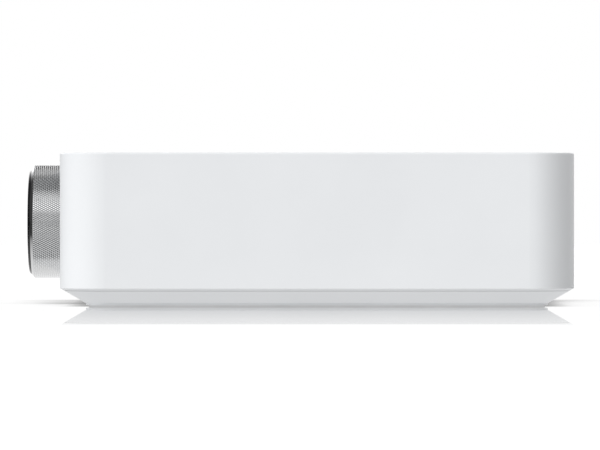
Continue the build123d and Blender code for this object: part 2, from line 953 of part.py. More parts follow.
with BuildPart() as heat_sink:
    sink_foot = board_top + processor_height
    with BuildSketch(Plane.XY.offset(sink_foot)):
        with Locations(processor_place):
            Rectangle(sink_width, sink_width)
    extrude(amount=sink_base)
    with BuildSketch(Plane.XY.offset(sink_foot + sink_base)):
        with Locations(processor_place):
            with GridLocations((sink_width - sink_fin) / (sink_fins - 1), 0, sink_fins, 1):
                Rectangle(sink_fin, sink_width)
    extrude(amount=sink_height - sink_base)
save(heat_sink.part, "heat_sink")

wifi_place = shares_on(*main_size, [wifi_share])[0]
wifi_module = box_group([wifi_place], board_top, wifi_width, wifi_depth, wifi_height)
save(wifi_module, "wifi_module")

chip_places = shares_on(*main_size, chip_shares)
audio_chips = box_group(chip_places, board_top, chip_width, chip_depth, chip_height)
save(audio_chips, "audio_chips")

long_row, short_row, side_row = shares_on(*main_size, capacitor_row_shares)
capacitor_places = [
    *row_places(*long_row, capacitor_pitch, capacitor_row_count, 1),
    *row_places(*short_row, capacitor_pitch, capacitor_pair_count, 1),
    *row_places(*side_row, capacitor_pitch, 1, capacitor_pair_count),
]
audio_capacitors = can_group(capacitor_places, board_top, capacitor_radius, capacitor_height)
save(audio_capacitors, "audio_capacitors")

network_front = panel_face + network_proud - network_depth
screw_edge = min(x for x, y in main_holes) + board_head_radius + magnetics_screw_gap
magnetics_place = (
    max(network_x, screw_edge + magnetics_width / 2),
    network_front - magnetics_gap - magnetics_depth / 2,
)
network_magnetics = box_group(
    [magnetics_place], board_top, magnetics_width, magnetics_depth, magnetics_height
)
save(network_magnetics, "network_magnetics")

# Parts on the power board
filter_place = (power_board_x, power_board_y + power_board_depth * filter_share)
mains_filter = box_group([filter_place], board_top, filter_width, filter_depth, filter_height)
save(mains_filter, "mains_filter")

bulk_place = (power_board_x, power_board_y + power_board_depth * bulk_share)
mains_capacitor = can_group([bulk_place], board_top, bulk_radius, bulk_height)
save(mains_capacitor, "mains_capacitor")

with BuildPart() as power_transformer:
    coil_y = power_board_y + power_board_depth * coil_share
    coil_middle = board_top + coil_height / 2
    with BuildSketch(Plane.XY.offset(board_top)):
        with Locations((power_board_x, coil_y)):
            Rectangle(coil_width, coil_core)
    extrude(amount=coil_height)
    with BuildSketch(Plane.XY.offset(board_top)):
        with Locations((power_board_x, coil_y)):
            Rectangle(coil_width - coil_core, coil_depth)
    extrude(amount=coil_core)
    with BuildSketch(upright(coil_y + coil_depth / 2)):
        with Locations((power_board_x, coil_middle)):
            RectangleRounded(
                coil_width - coil_core, coil_height - coil_core / 2, coil_core / 2
            )
    extrude(amount=coil_depth)
save(power_transformer.part, "power_transformer")

output_y = power_board_y + power_board_depth * output_share
output_places = row_places(power_board_x, output_y, output_pitch, 2, 1)
output_capacitors = can_group(output_places, board_top, output_radius, output_height)
save(output_capacitors, "output_capacitors")

with BuildPart() as power_heat_sink:
    fin_plate_y = power_board_y + power_board_depth * fin_plate_share
    with BuildSketch(Plane.XY.offset(board_top)):
        with Locations((power_board_x, fin_plate_y)):
            Rectangle(fin_plate_width, fin_plate_depth)
        with Locations((power_board_x, fin_plate_y - fin_plate_wall)):
            Rectangle(
                fin_plate_width - 2 * fin_plate_wall, fin_plate_depth, mode=Mode.SUBTRACT
            )
    extrude(amount=fin_plate_height)
save(power_heat_sink.part, "power_heat_sink")

# Lead between the boards: two insulated wires that arch from plug to plug
lead_plug_places = [
    (power_board_x, power_board_y - power_board_depth / 2 + lead_plug_setback),
    (
        main_board_x - main_board_width / 2 + lead_plug_inset,
        main_board_front + lead_plug_setback,
    ),
]
lead_plugs = box_group(
    lead_plug_places, board_top, lead_plug_depth, lead_plug_width, lead_plug_height
)
save(lead_plugs, "lead_plugs")

with BuildPart() as power_lead:
    lead_foot = board_top + lead_plug_height
    (power_plug_x, power_plug_y), (main_plug_x, main_plug_y) = lead_plug_places
    for lead_offset in (-lead_pitch / 2, lead_pitch / 2):
        wire_start = (power_plug_x, power_plug_y + lead_offset)
        wire_end = (main_plug_x, main_plug_y + lead_offset)
        with BuildLine() as wire_line:
            FilletPolyline(
                (*wire_start, lead_foot),
                (*wire_start, lead_foot + lead_arch),
                (*wire_end, lead_foot + lead_arch),
                (*wire_end, lead_foot),
                radius=lead_bend,
            )
        with BuildSketch(Plane(origin=(*wire_start, lead_foot), z_dir=(0, 0, 1))):
            Circle(lead_radius)
        sweep(path=wire_line.line)
save(power_lead.part, "power_lead")

# Aerials: thin boards on the right-hand wall, each with a fine lead from the radio module
aerial_face = side_in - aerial_thickness
aerial_ys = [body_depth * share for share in aerial_y_share]
with BuildPart() as aerials:
    with BuildSketch(Plane.YZ.offset(aerial_face)):
        with Locations(*[(y, aerial_z) for y in aerial_ys]):
            RectangleRounded(aerial_length, aerial_height, board_radius)
    extrude(amount=aerial_thickness)
save(aerials.part, "aerials")

with BuildPart() as aerial_leads:
    lead_start_z = board_top + wifi_height
    for aerial_y in aerial_ys:
        lead_end = -1 if aerial_y < wifi_place[1] else 1
        start_y = wifi_place[1] + lead_end * aerial_lead_start
        with BuildLine() as aerial_line:
            FilletPolyline(
                (wifi_place[0], start_y, lead_start_z),
                (wifi_place[0], start_y, lead_start_z + aerial_lead_rise),
                (
                    wifi_place[0] + aerial_lead_run,
                    start_y + lead_end * aerial_lead_run,
                    aerial_z + aerial_lead_lift,
                ),
                (aerial_face - aerial_lead_run, aerial_y, aerial_z),
                (aerial_face, aerial_y, aerial_z),
                radius=aerial_lead_bend,
            )
        with BuildSketch(Plane(origin=(wifi_place[0], start_y, lead_start_z), z_dir=(0, 0, 1))):
            Circle(aerial_lead_radius)
        sweep(path=aerial_line.line)
save(aerial_leads.part, "aerial_leads")

# Rear panel: a plateau that fills the end of the bay and a flange behind its walls
inlet_z = board_top + inlet_centre
reset_z = board_top + reset_centre
network_z = board_top + network_height / 2
usb_z = board_top + usb_height / 2
optical_z = board_top + optical_height / 2
phono_zs = [board_top + phono_first, board_top + phono_first + phono_pitch]
phono_height = 2 * phono_first + phono_pitch
phono_places = [(x, z) for x in phono_xs for z in phono_zs]
jack_screw_places = [(x, sum(phono_zs) / 2) for x in phono_xs]
with BuildPart() as rear_panel:
    with BuildSketch(upright(panel_back)):
        with Locations((0, window_middle)):
            RectangleRounded(
                window_width + 2 * bay_wall,
                window_height + 2 * bay_wall,
                window_radius + bay_wall,
            )
    extrude(amount=-panel_flange)
    with BuildSketch(upright(panel_back)):
        with Locations((0, window_middle)):
            RectangleRounded(
                window_width - 2 * panel_gap, window_height - 2 * panel_gap, window_radius
            )
    extrude(amount=panel_back - panel_face)
    with BuildSketch(upright(panel_back - cut_overrun)):
        with Locations((inlet_x, inlet_z)):
            RectangleRounded(
                inlet_nose_width + 2 * panel_hole_gap,
                inlet_nose_height + 2 * panel_hole_gap,
                inlet_nose_radius + panel_hole_gap,
            )
        with Locations((reset_x, reset_z)):
            Circle(reset_radius + reset_gap)
        with Locations((network_x, network_z)):
            Rectangle(network_width + 2 * panel_hole_gap, network_height + 2 * panel_hole_gap)
        with Locations((usb_x, usb_z)):
            RectangleRounded(
                usb_width + 2 * panel_hole_gap,
                usb_height + 2 * panel_hole_gap,
                usb_radius + panel_hole_gap,
            )
        with Locations((optical_x, optical_z)):
            Rectangle(optical_width + 2 * panel_hole_gap, optical_height + 2 * panel_hole_gap)
        with Locations(*phono_places):
            Circle(phono_sleeve_radius + panel_hole_gap)
        with Locations(*jack_screw_places):
            Circle(jack_screw_radius + panel_hole_gap)
    extrude(amount=panel_back - panel_face - 2 * cut_overrun, mode=Mode.SUBTRACT)
save(rear_panel.part, "rear_panel")

jack_screws = screw_group(
    upright(panel_face),
    jack_screw_places,
    jack_screw_radius,
    jack_screw_length,
    jack_head_radius,
    jack_head_height,
)
save(jack_screws, "jack_screws")

# Mains inlet: a block on the power board with a two-lobed recess and its two pins
inlet_out = panel_face + inlet_nose_proud
inlet_pin_places = [(inlet_x - inlet_pin_x, inlet_z), (inlet_x + inlet_pin_x, inlet_z)]
with BuildPart() as mains_inlet:
    with BuildSketch(upright(panel_back)):
        with Locations((inlet_x, board_top + inlet_height / 2)):
            Rectangle(inlet_width, inlet_height)
    extrude(amount=inlet_depth)
    with BuildSketch(upright(panel_back)):
        with Locations((inlet_x, inlet_z)):
            RectangleRounded(inlet_nose_width, inlet_nose_height, inlet_nose_radius)
    extrude(amount=panel_back - inlet_out)
    with BuildSketch(upright(inlet_out)):
        with Locations((inlet_x - inlet_lobe_x, inlet_z), (inlet_x + inlet_lobe_x, inlet_z)):
            Circle(inlet_lobe_radius)
        with Locations((inlet_x, inlet_z)):
            Rectangle(2 * inlet_lobe_x, inlet_waist)
    extrude(amount=inlet_bore, mode=Mode.SUBTRACT)
    with BuildSketch(upright(inlet_out - inlet_bore)):
        with Locations(*inlet_pin_places):
            Circle(inlet_pin_radius + screw_clearance)
    extrude(amount=inlet_pin_tail, mode=Mode.SUBTRACT)
save(mains_inlet.part, "mains_inlet")

with BuildPart() as inlet_pins:
    with BuildSketch(upright(inlet_out - inlet_bore - inlet_pin_tail)):
        with Locations(*inlet_pin_places):
            Circle(inlet_pin_radius)
    extrude(amount=-inlet_pin_length - inlet_pin_tail)
    chamfer(inlet_pins.edges().group_by(Axis.Y)[-1], inlet_pin_radius / 3)
save(inlet_pins.part, "inlet_pins")

# Reset button: a plunger held behind the panel by its flange, and its switch
with BuildPart() as reset_button:
    button_face = panel_face + reset_proud
    flange_rear = panel_back - reset_flange_gap
    with BuildSketch(upright(button_face)):
        with Locations((reset_x, reset_z)):
            Circle(reset_radius)
    extrude(amount=button_face - flange_rear)
    fillet(reset_button.edges().group_by(Axis.Y)[-1], reset_crown)
    with BuildSketch(upright(flange_rear)):
        with Locations((reset_x, reset_z)):
            Circle(reset_flange_radius)
    extrude(amount=reset_flange)
    with BuildSketch(upright(flange_rear - reset_flange)):
        with Locations((reset_x, reset_z)):
            Circle(reset_stem_radius)
    extrude(amount=reset_stem)
save(reset_button.part, "reset_button")

with BuildPart() as reset_switch:
    switch_rear = flange_rear - reset_flange - reset_stem - reset_travel - reset_end_gap
    with BuildSketch(upright(switch_rear)):
        with Locations((reset_x, board_top + reset_height / 2)):
            Rectangle(reset_width, reset_height)
    extrude(amount=reset_depth)
save(reset_switch.part, "reset_switch")

# Network socket: a folded metal skin round a moulded insert with eight contacts
network_out = panel_face + network_proud
bore_foot = network_z - network_bore_height / 2 - network_bore_rise / 2
with BuildPart() as network_shield:
    with BuildSketch(upright(network_out)):
        with Locations((network_x, network_z)):
            Rectangle(network_width, network_height)
    extrude(amount=network_depth)
    with BuildSketch(upright(network_out - network_skin)):
        with Locations((network_x, network_z)):
            Rectangle(network_width - 2 * network_skin, network_height - 2 * network_skin)
    extrude(amount=network_depth, mode=Mode.SUBTRACT)
    with BuildSketch(upright(network_out)):
        with Locations((network_x, network_z)):
            Rectangle(network_window_width, network_window_height)
    extrude(amount=network_skin, mode=Mode.SUBTRACT)
save(network_shield.part, "network_shield")

with BuildPart() as network_insert:
    insert_face = network_out - network_skin
    key_top = bore_foot + network_bore_height + network_key_height
    with BuildSketch(upright(insert_face)):
        with Locations((network_x, network_z)):
            Rectangle(network_width - 2 * network_skin, network_height - 2 * network_skin)
    extrude(amount=network_depth - network_skin)
    with BuildSketch(upright(insert_face)):
        with Locations((network_x, bore_foot + network_bore_height / 2)):
            Rectangle(network_bore_width, network_bore_height)
        with Locations((network_x, key_top - network_key_height)):
            Rectangle(network_key_width, 2 * network_key_height)
        with Locations((network_x, key_top)):
            Rectangle(network_latch_width, 2 * network_latch_height)
    extrude(amount=network_bore_depth, mode=Mode.SUBTRACT)
save(network_insert.part, "network_insert")

with BuildPart() as network_contacts:
    contact_back = insert_face - network_bore_depth
    contact_front = insert_face - contact_setback
    with BuildSketch(Plane.YZ.offset(network_x)) as contact_side:
        with BuildLine():
            Polyline(
                (contact_back, bore_foot),
                (contact_front, bore_foot),
                (contact_front, bore_foot + contact_thickness),
                (contact_front - contact_length, bore_foot + contact_lift + contact_thickness),
                (contact_front - contact_length, bore_foot + contact_lift),
                (contact_front - contact_thickness, bore_foot + contact_thickness),
                (contact_back, bore_foot + contact_thickness),
                close=True,
            )
        make_face()
    contact_span = contact_pitch * (contact_count - 1)
    for contact_index in range(contact_count):
        contact_x = contact_pitch * contact_index - contact_span / 2
        contact_face = contact_side.sketch.moved(Location((contact_x, 0, 0)))
        extrude(contact_face, amount=contact_width / 2, both=True)
save(network_contacts.part, "network_contacts")

# USB socket: a metal tube with its contact tongue on a rear block
usb_out = panel_face + usb_proud
with BuildPart() as usb_shield:
    with BuildSketch(upright(usb_out)):
        with Locations((usb_x, usb_z)):
            RectangleRounded(usb_width, usb_height, usb_radius)
            RectangleRounded(
                usb_width - 2 * usb_skin,
                usb_height - 2 * usb_skin,
                max(usb_radius - usb_skin, usb_skin),
                mode=Mode.SUBTRACT,
            )
    extrude(amount=usb_depth)
save(usb_shield.part, "usb_shield")

with BuildPart() as usb_tongue:
    usb_block_face = usb_out - usb_depth + usb_block
    with BuildSketch(upright(usb_block_face)):
        with Locations((usb_x, usb_z)):
            RectangleRounded(
                usb_width - 2 * usb_skin,
                usb_height - 2 * usb_skin,
                max(usb_radius - usb_skin, usb_skin),
            )
    extrude(amount=usb_block)
    with BuildSketch(upright(usb_block_face + usb_tongue_length)):
        with Locations((usb_x, board_top + usb_tongue_rise + usb_tongue_height / 2)):
            Rectangle(usb_tongue_width, usb_tongue_height)
    extrude(amount=usb_tongue_length)
save(usb_tongue.part, "usb_tongue")

# Optical socket: a square bore with a sprung flap hinged under its top edge
optical_out = panel_face + optical_proud
optical_foot = board_top + optical_bore_rise
optical_bore_z = optical_foot + optical_bore / 2
flap_axis_y = optical_out - optical_lip - flap_lip_gap - flap_thickness / 2
flap_axis_z = optical_foot + optical_bore - flap_head_gap - flap_pin_radius
with BuildPart() as optical_housing:
    with BuildSketch(upright(optical_out)):
        with Locations((optical_x, optical_z)):
            Rectangle(optical_width, optical_height)
    extrude(amount=optical_depth)
    with BuildSketch(upright(optical_out - optical_lip)):
        with Locations((optical_x, optical_bore_z)):
            Rectangle(optical_bore, optical_bore)
    extrude(amount=optical_bore_depth, mode=Mode.SUBTRACT)
    with BuildSketch(upright(optical_out)):
        with Locations((optical_x, optical_bore_z)):
            Rectangle(optical_bore - 2 * optical_lip_width, optical_bore - 2 * optical_lip_width)
    extrude(amount=optical_lip, mode=Mode.SUBTRACT)
    with BuildSketch(Plane.YZ.offset(optical_x)):
        with Locations((flap_axis_y, flap_axis_z)):
            Circle(flap_pin_radius + flap_pin_gap)
    extrude(
        amount=optical_bore / 2 - flap_gap + flap_pin_length + flap_pin_gap,
        both=True,
        mode=Mode.SUBTRACT,
    )
save(optical_housing.part, "optical_housing")

with BuildPart() as optical_flap:
    flap_half = optical_bore / 2 - flap_gap
    flap_foot = optical_foot + 2 * flap_gap
    with BuildSketch(Plane.YZ.offset(optical_x)):
        with Locations((flap_axis_y, flap_axis_z)):
            Circle(flap_thickness / 2)
        with Locations((flap_axis_y, (flap_foot + flap_axis_z) / 2)):
            Rectangle(flap_thickness, flap_axis_z - flap_foot)
    extrude(amount=flap_half, both=True)
    with BuildSketch(Plane.YZ.offset(optical_x)):
        with Locations((flap_axis_y, flap_axis_z)):
            Circle(flap_pin_radius)
    extrude(amount=flap_half + flap_pin_length, both=True)
save(optical_flap.part, "optical_flap")

# Phono sockets: moulded blocks with plated sleeves, coloured collars and centre contacts
sleeve_out = panel_face + phono_sleeve_length
with BuildPart() as phono_blocks:
    with BuildSketch(upright(panel_back)):
        with Locations(*[(x, board_top + phono_height / 2) for x in phono_xs]):
            Rectangle(phono_width, phono_height)
    extrude(amount=phono_depth)
    with BuildSketch(upright(panel_back)):
        with Locations(*phono_places):
            Circle(phono_sleeve_radius - phono_root_step + screw_clearance)
    extrude(amount=phono_sleeve_root, mode=Mode.SUBTRACT)
    with BuildSketch(upright(panel_back)):
        with Locations(*jack_screw_places):
            Circle(jack_screw_radius + screw_clearance)
    extrude(amount=jack_screw_length, mode=Mode.SUBTRACT)
save(phono_blocks.part, "phono_blocks")

sleeve_bore = phono_sleeve_radius - phono_sleeve_wall
sleeve_neck = phono_sleeve_radius - phono_root_step
collar_face = panel_face + phono_collar
with BuildPart() as phono_sleeves:
    for sleeve_start, sleeve_end, sleeve_radius in (
        (sleeve_out, collar_face, phono_sleeve_radius),
        (collar_face, panel_back - phono_sleeve_root, sleeve_neck),
    ):
        with BuildSketch(upright(sleeve_start)):
            with Locations(*phono_places):
                Circle(sleeve_radius)
                Circle(sleeve_bore, mode=Mode.SUBTRACT)
        extrude(amount=sleeve_start - sleeve_end)
save(phono_sleeves.part, "phono_sleeves")

with BuildPart() as phono_contacts:
    contact_out = sleeve_out - phono_core_setback
    with BuildSketch(upright(contact_out)):
        with Locations(*phono_places):
            Circle(phono_contact_radius)
            Circle(phono_contact_radius - phono_contact_wall, mode=Mode.SUBTRACT)
    extrude(amount=contact_out - panel_back + phono_sleeve_root)
save(phono_contacts.part, "phono_contacts")

upper_row = [(x, phono_zs[1]) for x in phono_xs[1:]]
lower_row = [(x, phono_zs[0]) for x in phono_xs[1:]]
for ring_name, ring_places in (
    ("phono_rings_white", upper_row),
    ("phono_rings_red", lower_row),
    ("phono_rings_dark", [(phono_xs[0], z) for z in phono_zs]),
):
    with BuildPart() as phono_rings:
        with BuildSketch(upright(panel_face)):
            with Locations(*ring_places):
                Circle(phono_collar_radius)
                Circle(sleeve_neck + phono_core_gap, mode=Mode.SUBTRACT)
        extrude(amount=-phono_collar)
        with BuildSketch(upright(contact_out)):
            with Locations(*ring_places):
                Circle(sleeve_bore - phono_core_gap)
                Circle(phono_contact_radius + phono_core_gap, mode=Mode.SUBTRACT)
        extrude(amount=contact_out - panel_back + phono_sleeve_root)
    save(phono_rings.part, ring_name)
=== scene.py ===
"""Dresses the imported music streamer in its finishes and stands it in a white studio.

Metres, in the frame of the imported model. The file is laid out as an add-on and run as a script.
"""

import math

import bmesh
import bpy
from bpy.props import FloatProperty, FloatVectorProperty, IntProperty, PointerProperty
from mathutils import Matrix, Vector


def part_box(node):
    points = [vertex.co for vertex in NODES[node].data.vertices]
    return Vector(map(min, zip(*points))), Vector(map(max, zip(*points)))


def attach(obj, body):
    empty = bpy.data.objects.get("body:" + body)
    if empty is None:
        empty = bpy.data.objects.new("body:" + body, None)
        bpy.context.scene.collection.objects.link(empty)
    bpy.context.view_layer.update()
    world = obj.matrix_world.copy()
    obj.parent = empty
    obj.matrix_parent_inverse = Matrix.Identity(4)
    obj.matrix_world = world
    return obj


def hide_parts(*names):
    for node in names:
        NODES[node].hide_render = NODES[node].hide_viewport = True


bl_info = {
    "name": "Music Streamer Dresser",
    "version": (1, 0, 0),
    "blender": (4, 5, 0),
    "location": "View3D > Sidebar > Streamer",
    "description": "Builds the knurled knob, the finishes and the studio of a music streamer",
    "category": "Object",
}

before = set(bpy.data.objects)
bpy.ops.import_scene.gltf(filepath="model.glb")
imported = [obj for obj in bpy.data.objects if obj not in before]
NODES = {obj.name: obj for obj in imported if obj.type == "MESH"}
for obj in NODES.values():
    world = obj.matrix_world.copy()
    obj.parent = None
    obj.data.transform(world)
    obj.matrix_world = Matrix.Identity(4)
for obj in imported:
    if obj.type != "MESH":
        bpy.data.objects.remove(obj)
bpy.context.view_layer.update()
WHITE = (1.0, 1.0, 1.0, 1.0)

# Size of the table and fineness of the turned pieces
FLOOR_SIZE = 12.0
GLASS_RINGS = 28
GLASS_RIM_STEPS = 14
GLASS_SEGMENTS = 256
GLASS_BACK_BEVEL = 0.0002
CUT_STEPS = 5
CUT_SPARE = 0.00002
SAME_PLACE = 1e-7

# Finish of the turned knob
KNOB_ROUGHNESS = 0.12
KNOB_MARK_DEPTH = 0.0000015

# Where the table's shade and glow change, as places along the width and the depth
BEND_FROM, BEND_TO = -0.06, 0.05
THROWN_FROM, THROWN_TO = 0.06, 0.11
FRONT_GLOW_END, FRONT_DARK_START, FRONT_DARK = -0.135, -0.23, 0.05

# How the table's mirror fades with distance and with the height of the view
MIRROR_WAIST, MIRROR_AT_WAIST = 0.75, 0.6
LOW_VIEW_NONE, LOW_VIEW_FULL = 0.35, 0.9

# Where the sky's parts start and are full, as parts of its direction
CEILING_START, CEILING_FULL = 0.57, 0.9
CEILING_FADE, CEILING_GONE = -0.15, -0.75
ROOM_START, ROOM_FULL = 0.2, 0.7
FRONT_START, FRONT_FULL = -0.2, -0.7
BACKDROP_START, BACKDROP_FULL = -0.5, -0.85
HORIZON_START, HORIZON_FULL = 0.05, 0.2
BOX_EDGE, BOX_CORE = 1.4, 0.5


# Sizes and colours


def length(name, description, default):
    """A length property in metres."""
    return FloatProperty(
        name=name, description=description, default=default, min=0.0, unit="LENGTH", precision=5
    )


def share(name, description, default):
    """A property between nothing and all."""
    return FloatProperty(
        name=name, description=description, default=default, min=0.0, max=1.0, subtype="FACTOR"
    )


def level(name, description, default):
    """A plain strength."""
    return FloatProperty(name=name, description=description, default=default, min=0.0)


def angle(name, description, degrees):
    """An angle property, given in degrees."""
    return FloatProperty(
        name=name, description=description, default=math.radians(degrees), subtype="ANGLE"
    )


def colour(name, description, default):
    """A colour property."""
    return FloatVectorProperty(
        name=name, description=description, default=default, size=3, min=0.0, max=1.0,
        subtype="COLOR",
    )


class CasingFinish(bpy.types.PropertyGroup):
    """Finishes of the white mouldings, the foot and the black rear panel."""

    white: colour("Casing White", "Colour of the moulded casing", (0.858, 0.874, 0.892))
    white_patch: colour("Casing Patch", "Colour in its faint cloudy patches", (0.836, 0.852, 0.87))
    satin: share("Casing Roughness", "Roughness of the satin casing", 0.42)
    grain: length("Grain Size", "Size of the fine moulded grain", 0.00045)
    grain_depth: length("Grain Depth", "Depth of the fine moulded grain", 0.000004)
    foot: colour("Foot Grey", "Colour of the soft foot ring", (0.8, 0.805, 0.81))
    panel: colour("Panel Black", "Colour of the rear panel", (0.022, 0.022, 0.024))
    panel_patch: colour("Panel Patch", "Lighter black between its grains", (0.034, 0.034, 0.036))


class KnobSizes(bpy.types.PropertyGroup):
    """Sizes and finishes of the knurled ring and the black glass face."""

    diamonds: IntProperty(
        name="Diamonds Round", description="Knurl diamonds round the ring", default=160, min=12
    )
    pitch: length("Axial Pitch", "Length of a knurl diamond along the axis", 0.001607)
    depth: length("Knurl Depth", "Depth of the knurl's grooves", 0.00019)
    flat: share("Diamond Flat", "Share of a diamond left flat at its top", 0.42)
    chamfer: length("Front Chamfer", "Chamfer at the ring's front edge", 0.00115)
    back_chamfer: length("Back Chamfer", "Chamfer at the ring's back edge", 0.0004)
    land: length("Front Land", "Flat land between the chamfer and the glass", 0.00025)
    wall: length("Ring Wall", "Wall of the ring round its bore", 0.00235)
    seat: length("Glass Seat", "Depth of the pocket that the glass sits in", 0.0021)
    edge: length("Edge Break", "Small bevel on the ring's turned edges", 0.00008)
    rim: length("Glass Rim", "Radius of the glass's rounded rim", 0.0012)
    dome: length("Glass Dome", "Height of the glass's gentle dome", 0.0003)
    # Painted light: the knurl's crests are a lighter copy of the knob's aluminium, and its grooves
    # get a painted shade.
    crest: colour("Knurl Crest", "Colour of the knurl's burnished crests", (0.85, 0.855, 0.86))
    groove: share("Groove Shade", "Share of the crests' brightness left in the grooves", 0.36)
    metal: colour("Aluminium", "Colour of the satin aluminium", (0.66, 0.665, 0.67))
    metal_shade: colour("Aluminium Shade", "Colour in the darker grain", (0.6, 0.605, 0.61))
    glass: colour("Glass Black", "Colour under the glass", (0.006, 0.006, 0.0065))


class SocketFinish(bpy.types.PropertyGroup):
    """Colours of the sockets, buttons, plated contacts and screws."""

    moulding: colour("Socket Black", "Colour of the socket mouldings", (0.018, 0.018, 0.019))
    gold: colour("Plated Gold", "Colour of the gold plating", (0.83, 0.6, 0.25))
    nickel: colour("Nickel", "Colour of the nickel plating", (0.72, 0.7, 0.66))
    tin: colour("Tinned Sheet", "Colour of the folded tin shields", (0.62, 0.62, 0.6))
    zinc: colour("Zinc", "Colour of the plated screws", (0.58, 0.59, 0.6))
    oxide: colour("Black Oxide", "Colour of the black screws", (0.03, 0.03, 0.032))
    white: colour("White Collar", "Colour of the white collars", (0.78, 0.78, 0.76))
    red: colour("Red Collar", "Colour of the red collars", (0.5, 0.018, 0.016))
    dark: colour("Dark Collar", "Colour of the dark collars", (0.03, 0.03, 0.034))
    button: colour("Button Grey", "Colour of the reset button", (0.3, 0.3, 0.31))
    flap: colour("Flap Grey", "Colour of the optical flap", (0.07, 0.07, 0.075))


class BoardFinish(bpy.types.PropertyGroup):
    """Colours of the circuit boards and what stands on them."""

    mask: colour("Board Green", "Colour of the boards' lacquer", (0.012, 0.1, 0.045))
    track: colour("Track Green", "Colour of the lacquer over copper", (0.03, 0.2, 0.085))
    solder: colour("Solder", "Colour of the tinned pads", (0.6, 0.6, 0.58))
    chip: colour("Chip Black", "Colour of the moulded chips", (0.022, 0.022, 0.023))
    sleeve: colour("Can Sleeve", "Colour of the capacitor sleeves", (0.03, 0.03, 0.07))
    can: colour("Can Top", "Colour of the bare can tops", (0.7, 0.7, 0.7))
    tape: colour("Coil Tape", "Colour of the taped winding", (0.62, 0.4, 0.04))
    core: colour("Coil Core", "Colour of the ferrite core", (0.045, 0.045, 0.05))
    film: colour("Ribbon Film", "Colour of the flat ribbon", (0.78, 0.78, 0.75))
    conductor: colour("Ribbon Strip", "Colour of the ribbon's conductors", (0.5, 0.5, 0.5))
    red: colour("Lead Red", "Colour of the power lead", (0.45, 0.022, 0.018))
    grey: colour("Lead Grey", "Colour of the aerial leads", (0.05, 0.05, 0.052))


class StudioSetting(bpy.types.PropertyGroup):
    """Camera, light and floor."""

    distance: length("Camera Distance", "Camera distance from the middle", 2.1)
    side: FloatProperty(
        name="Camera Side", description="Camera place along the depth", default=-0.0066,
        unit="LENGTH", precision=4,
    )
    height: length("Camera Height", "Camera height over the floor", 0.0317)
    lens: FloatProperty(
        name="Lens", description="Focal length", default=311.3, min=1.0, unit="CAMERA"
    )
    key_angle: angle("Key Azimuth", "Turn of the key light from the camera to the front", 43.0)
    key_rise: angle("Key Elevation", "Height of the key light over the horizon", 42.0)
    key_spread: angle("Key Spread", "Apparent size of the key light", 48.0)
    key_power: level("Key Strength", "Strength of the key light", 2.73)
    sky_low: level("Low Sky", "Brightness of the sky at the horizon", 0.05)
    sky_high: level("High Sky", "Brightness of the sky overhead", 0.34)
    table_glow: level("Table Glow", "Light that the table throws up at the object", 0.77)
    floor: share("Floor White", "How white the floor's paint is", 0.3)
    floor_lift: level("Floor Lift", "Light that is seen in the open floor", 0.82)
    shade_depth: share("Shade Depth", "How dark the table is where it is covered", 0.85)
    shade_bend: level("Shade Bend", "How fast the shade fades as the table opens", 3.2)
    shade_reach: length("Shade Reach", "How far the object's soft shade reaches", 0.03)
    shade_behind: level("Shade Behind", "How fast the shade fades behind the object", 1.0)
    shade_before: level("Shade Before", "Strength of the shade along the near side", 0.2)
    mirror_full: share("Mirror Strength", "How much the table mirrors close to the foot", 0.92)
    mirror_near: length("Mirror Near", "Distance from the foot with the full mirror", 0.1)
    mirror_far: length("Mirror Far", "Distance from the foot where the mirror ends", 0.392)
    ceiling: level("Dark Ceiling", "Brightness overhead in gloss and metal", 0.06)
    room: level("Grey Room", "Brightness behind the camera in gloss and metal", 0.62)
    backdrop: level("Bright Backdrop", "Brightness behind the object in gloss and metal", 2.0)
    soft_box: level("Soft Box", "Brightness of the key's soft box in gloss and metal", 1.6)
    box_angle: angle("Soft Box Azimuth", "Turn of the soft box from the camera to the front", -8.0)
    box_rise: angle("Soft Box Elevation", "Height of the soft box over the horizon", 42.0)
    box_spread: angle("Soft Box Spread", "Half of the soft box's apparent size", 24.0)
    table_end: length("Table End", "Distance towards the camera where the table turns dark", 0.2)


def settings():
    """The scene's own sizes and colours."""
    return bpy.context.scene.streamer


# Shader building


def put(tree, kind, inputs=(), **options):
    """Adds a node, sets its options, and sets or links its inputs by name or number."""
    made = tree.nodes.new(kind)
    for name, value in options.items():
        setattr(made, name, value)
    for name, value in dict(inputs).items():
        if isinstance(value, bpy.types.NodeSocket):
            tree.links.new(value, made.inputs[name])
        else:
            made.inputs[name].default_value = value
    return made


def reckon(tree, operation, *values):
    """The result of a Math node."""
    return put(tree, "ShaderNodeMath", enumerate(values), operation=operation).outputs[0]


def spread(tree, value, low, high, first=0.0, last=1.0, smooth=False):
    """A value mapped and clamped from low and high to first and last."""
    made = put(
        tree,
        "ShaderNodeMapRange",
        {0: value, 1: low, 2: high, 3: first, 4: last},
        interpolation_type="SMOOTHSTEP" if smooth else "LINEAR",
    )
    return made.outputs[0]


def blend_colours(tree, mask, first, second):
    """A colour that runs from the first to the second by a mask."""
    made = put(tree, "ShaderNodeMix", {0: mask}, data_type="RGBA")
    for number, value in ((6, first), (7, second)):
        if isinstance(value, bpy.types.NodeSocket):
            tree.links.new(value, made.inputs[number])
        else:
            made.inputs[number].default_value = (*value, 1.0)
    return made.outputs[2]


def new_group(name, inputs, outputs):
    """An empty shader group with its sockets, and its two end nodes."""
    tree = bpy.data.node_groups.new(name, "ShaderNodeTree")
    for label, kind, default in inputs:
        socket = tree.interface.new_socket(name=label, in_out="INPUT", socket_type=kind)
        socket.default_value = default
    for label in outputs:
        tree.interface.new_socket(name=label, in_out="OUTPUT", socket_type="NodeSocketFloat")
    return tree, tree.nodes.new("NodeGroupInput"), tree.nodes.new("NodeGroupOutput")


def wire(tree, node, name, value):
    """Links a value to a node's named input."""
    tree.links.new(value, node.inputs[name])


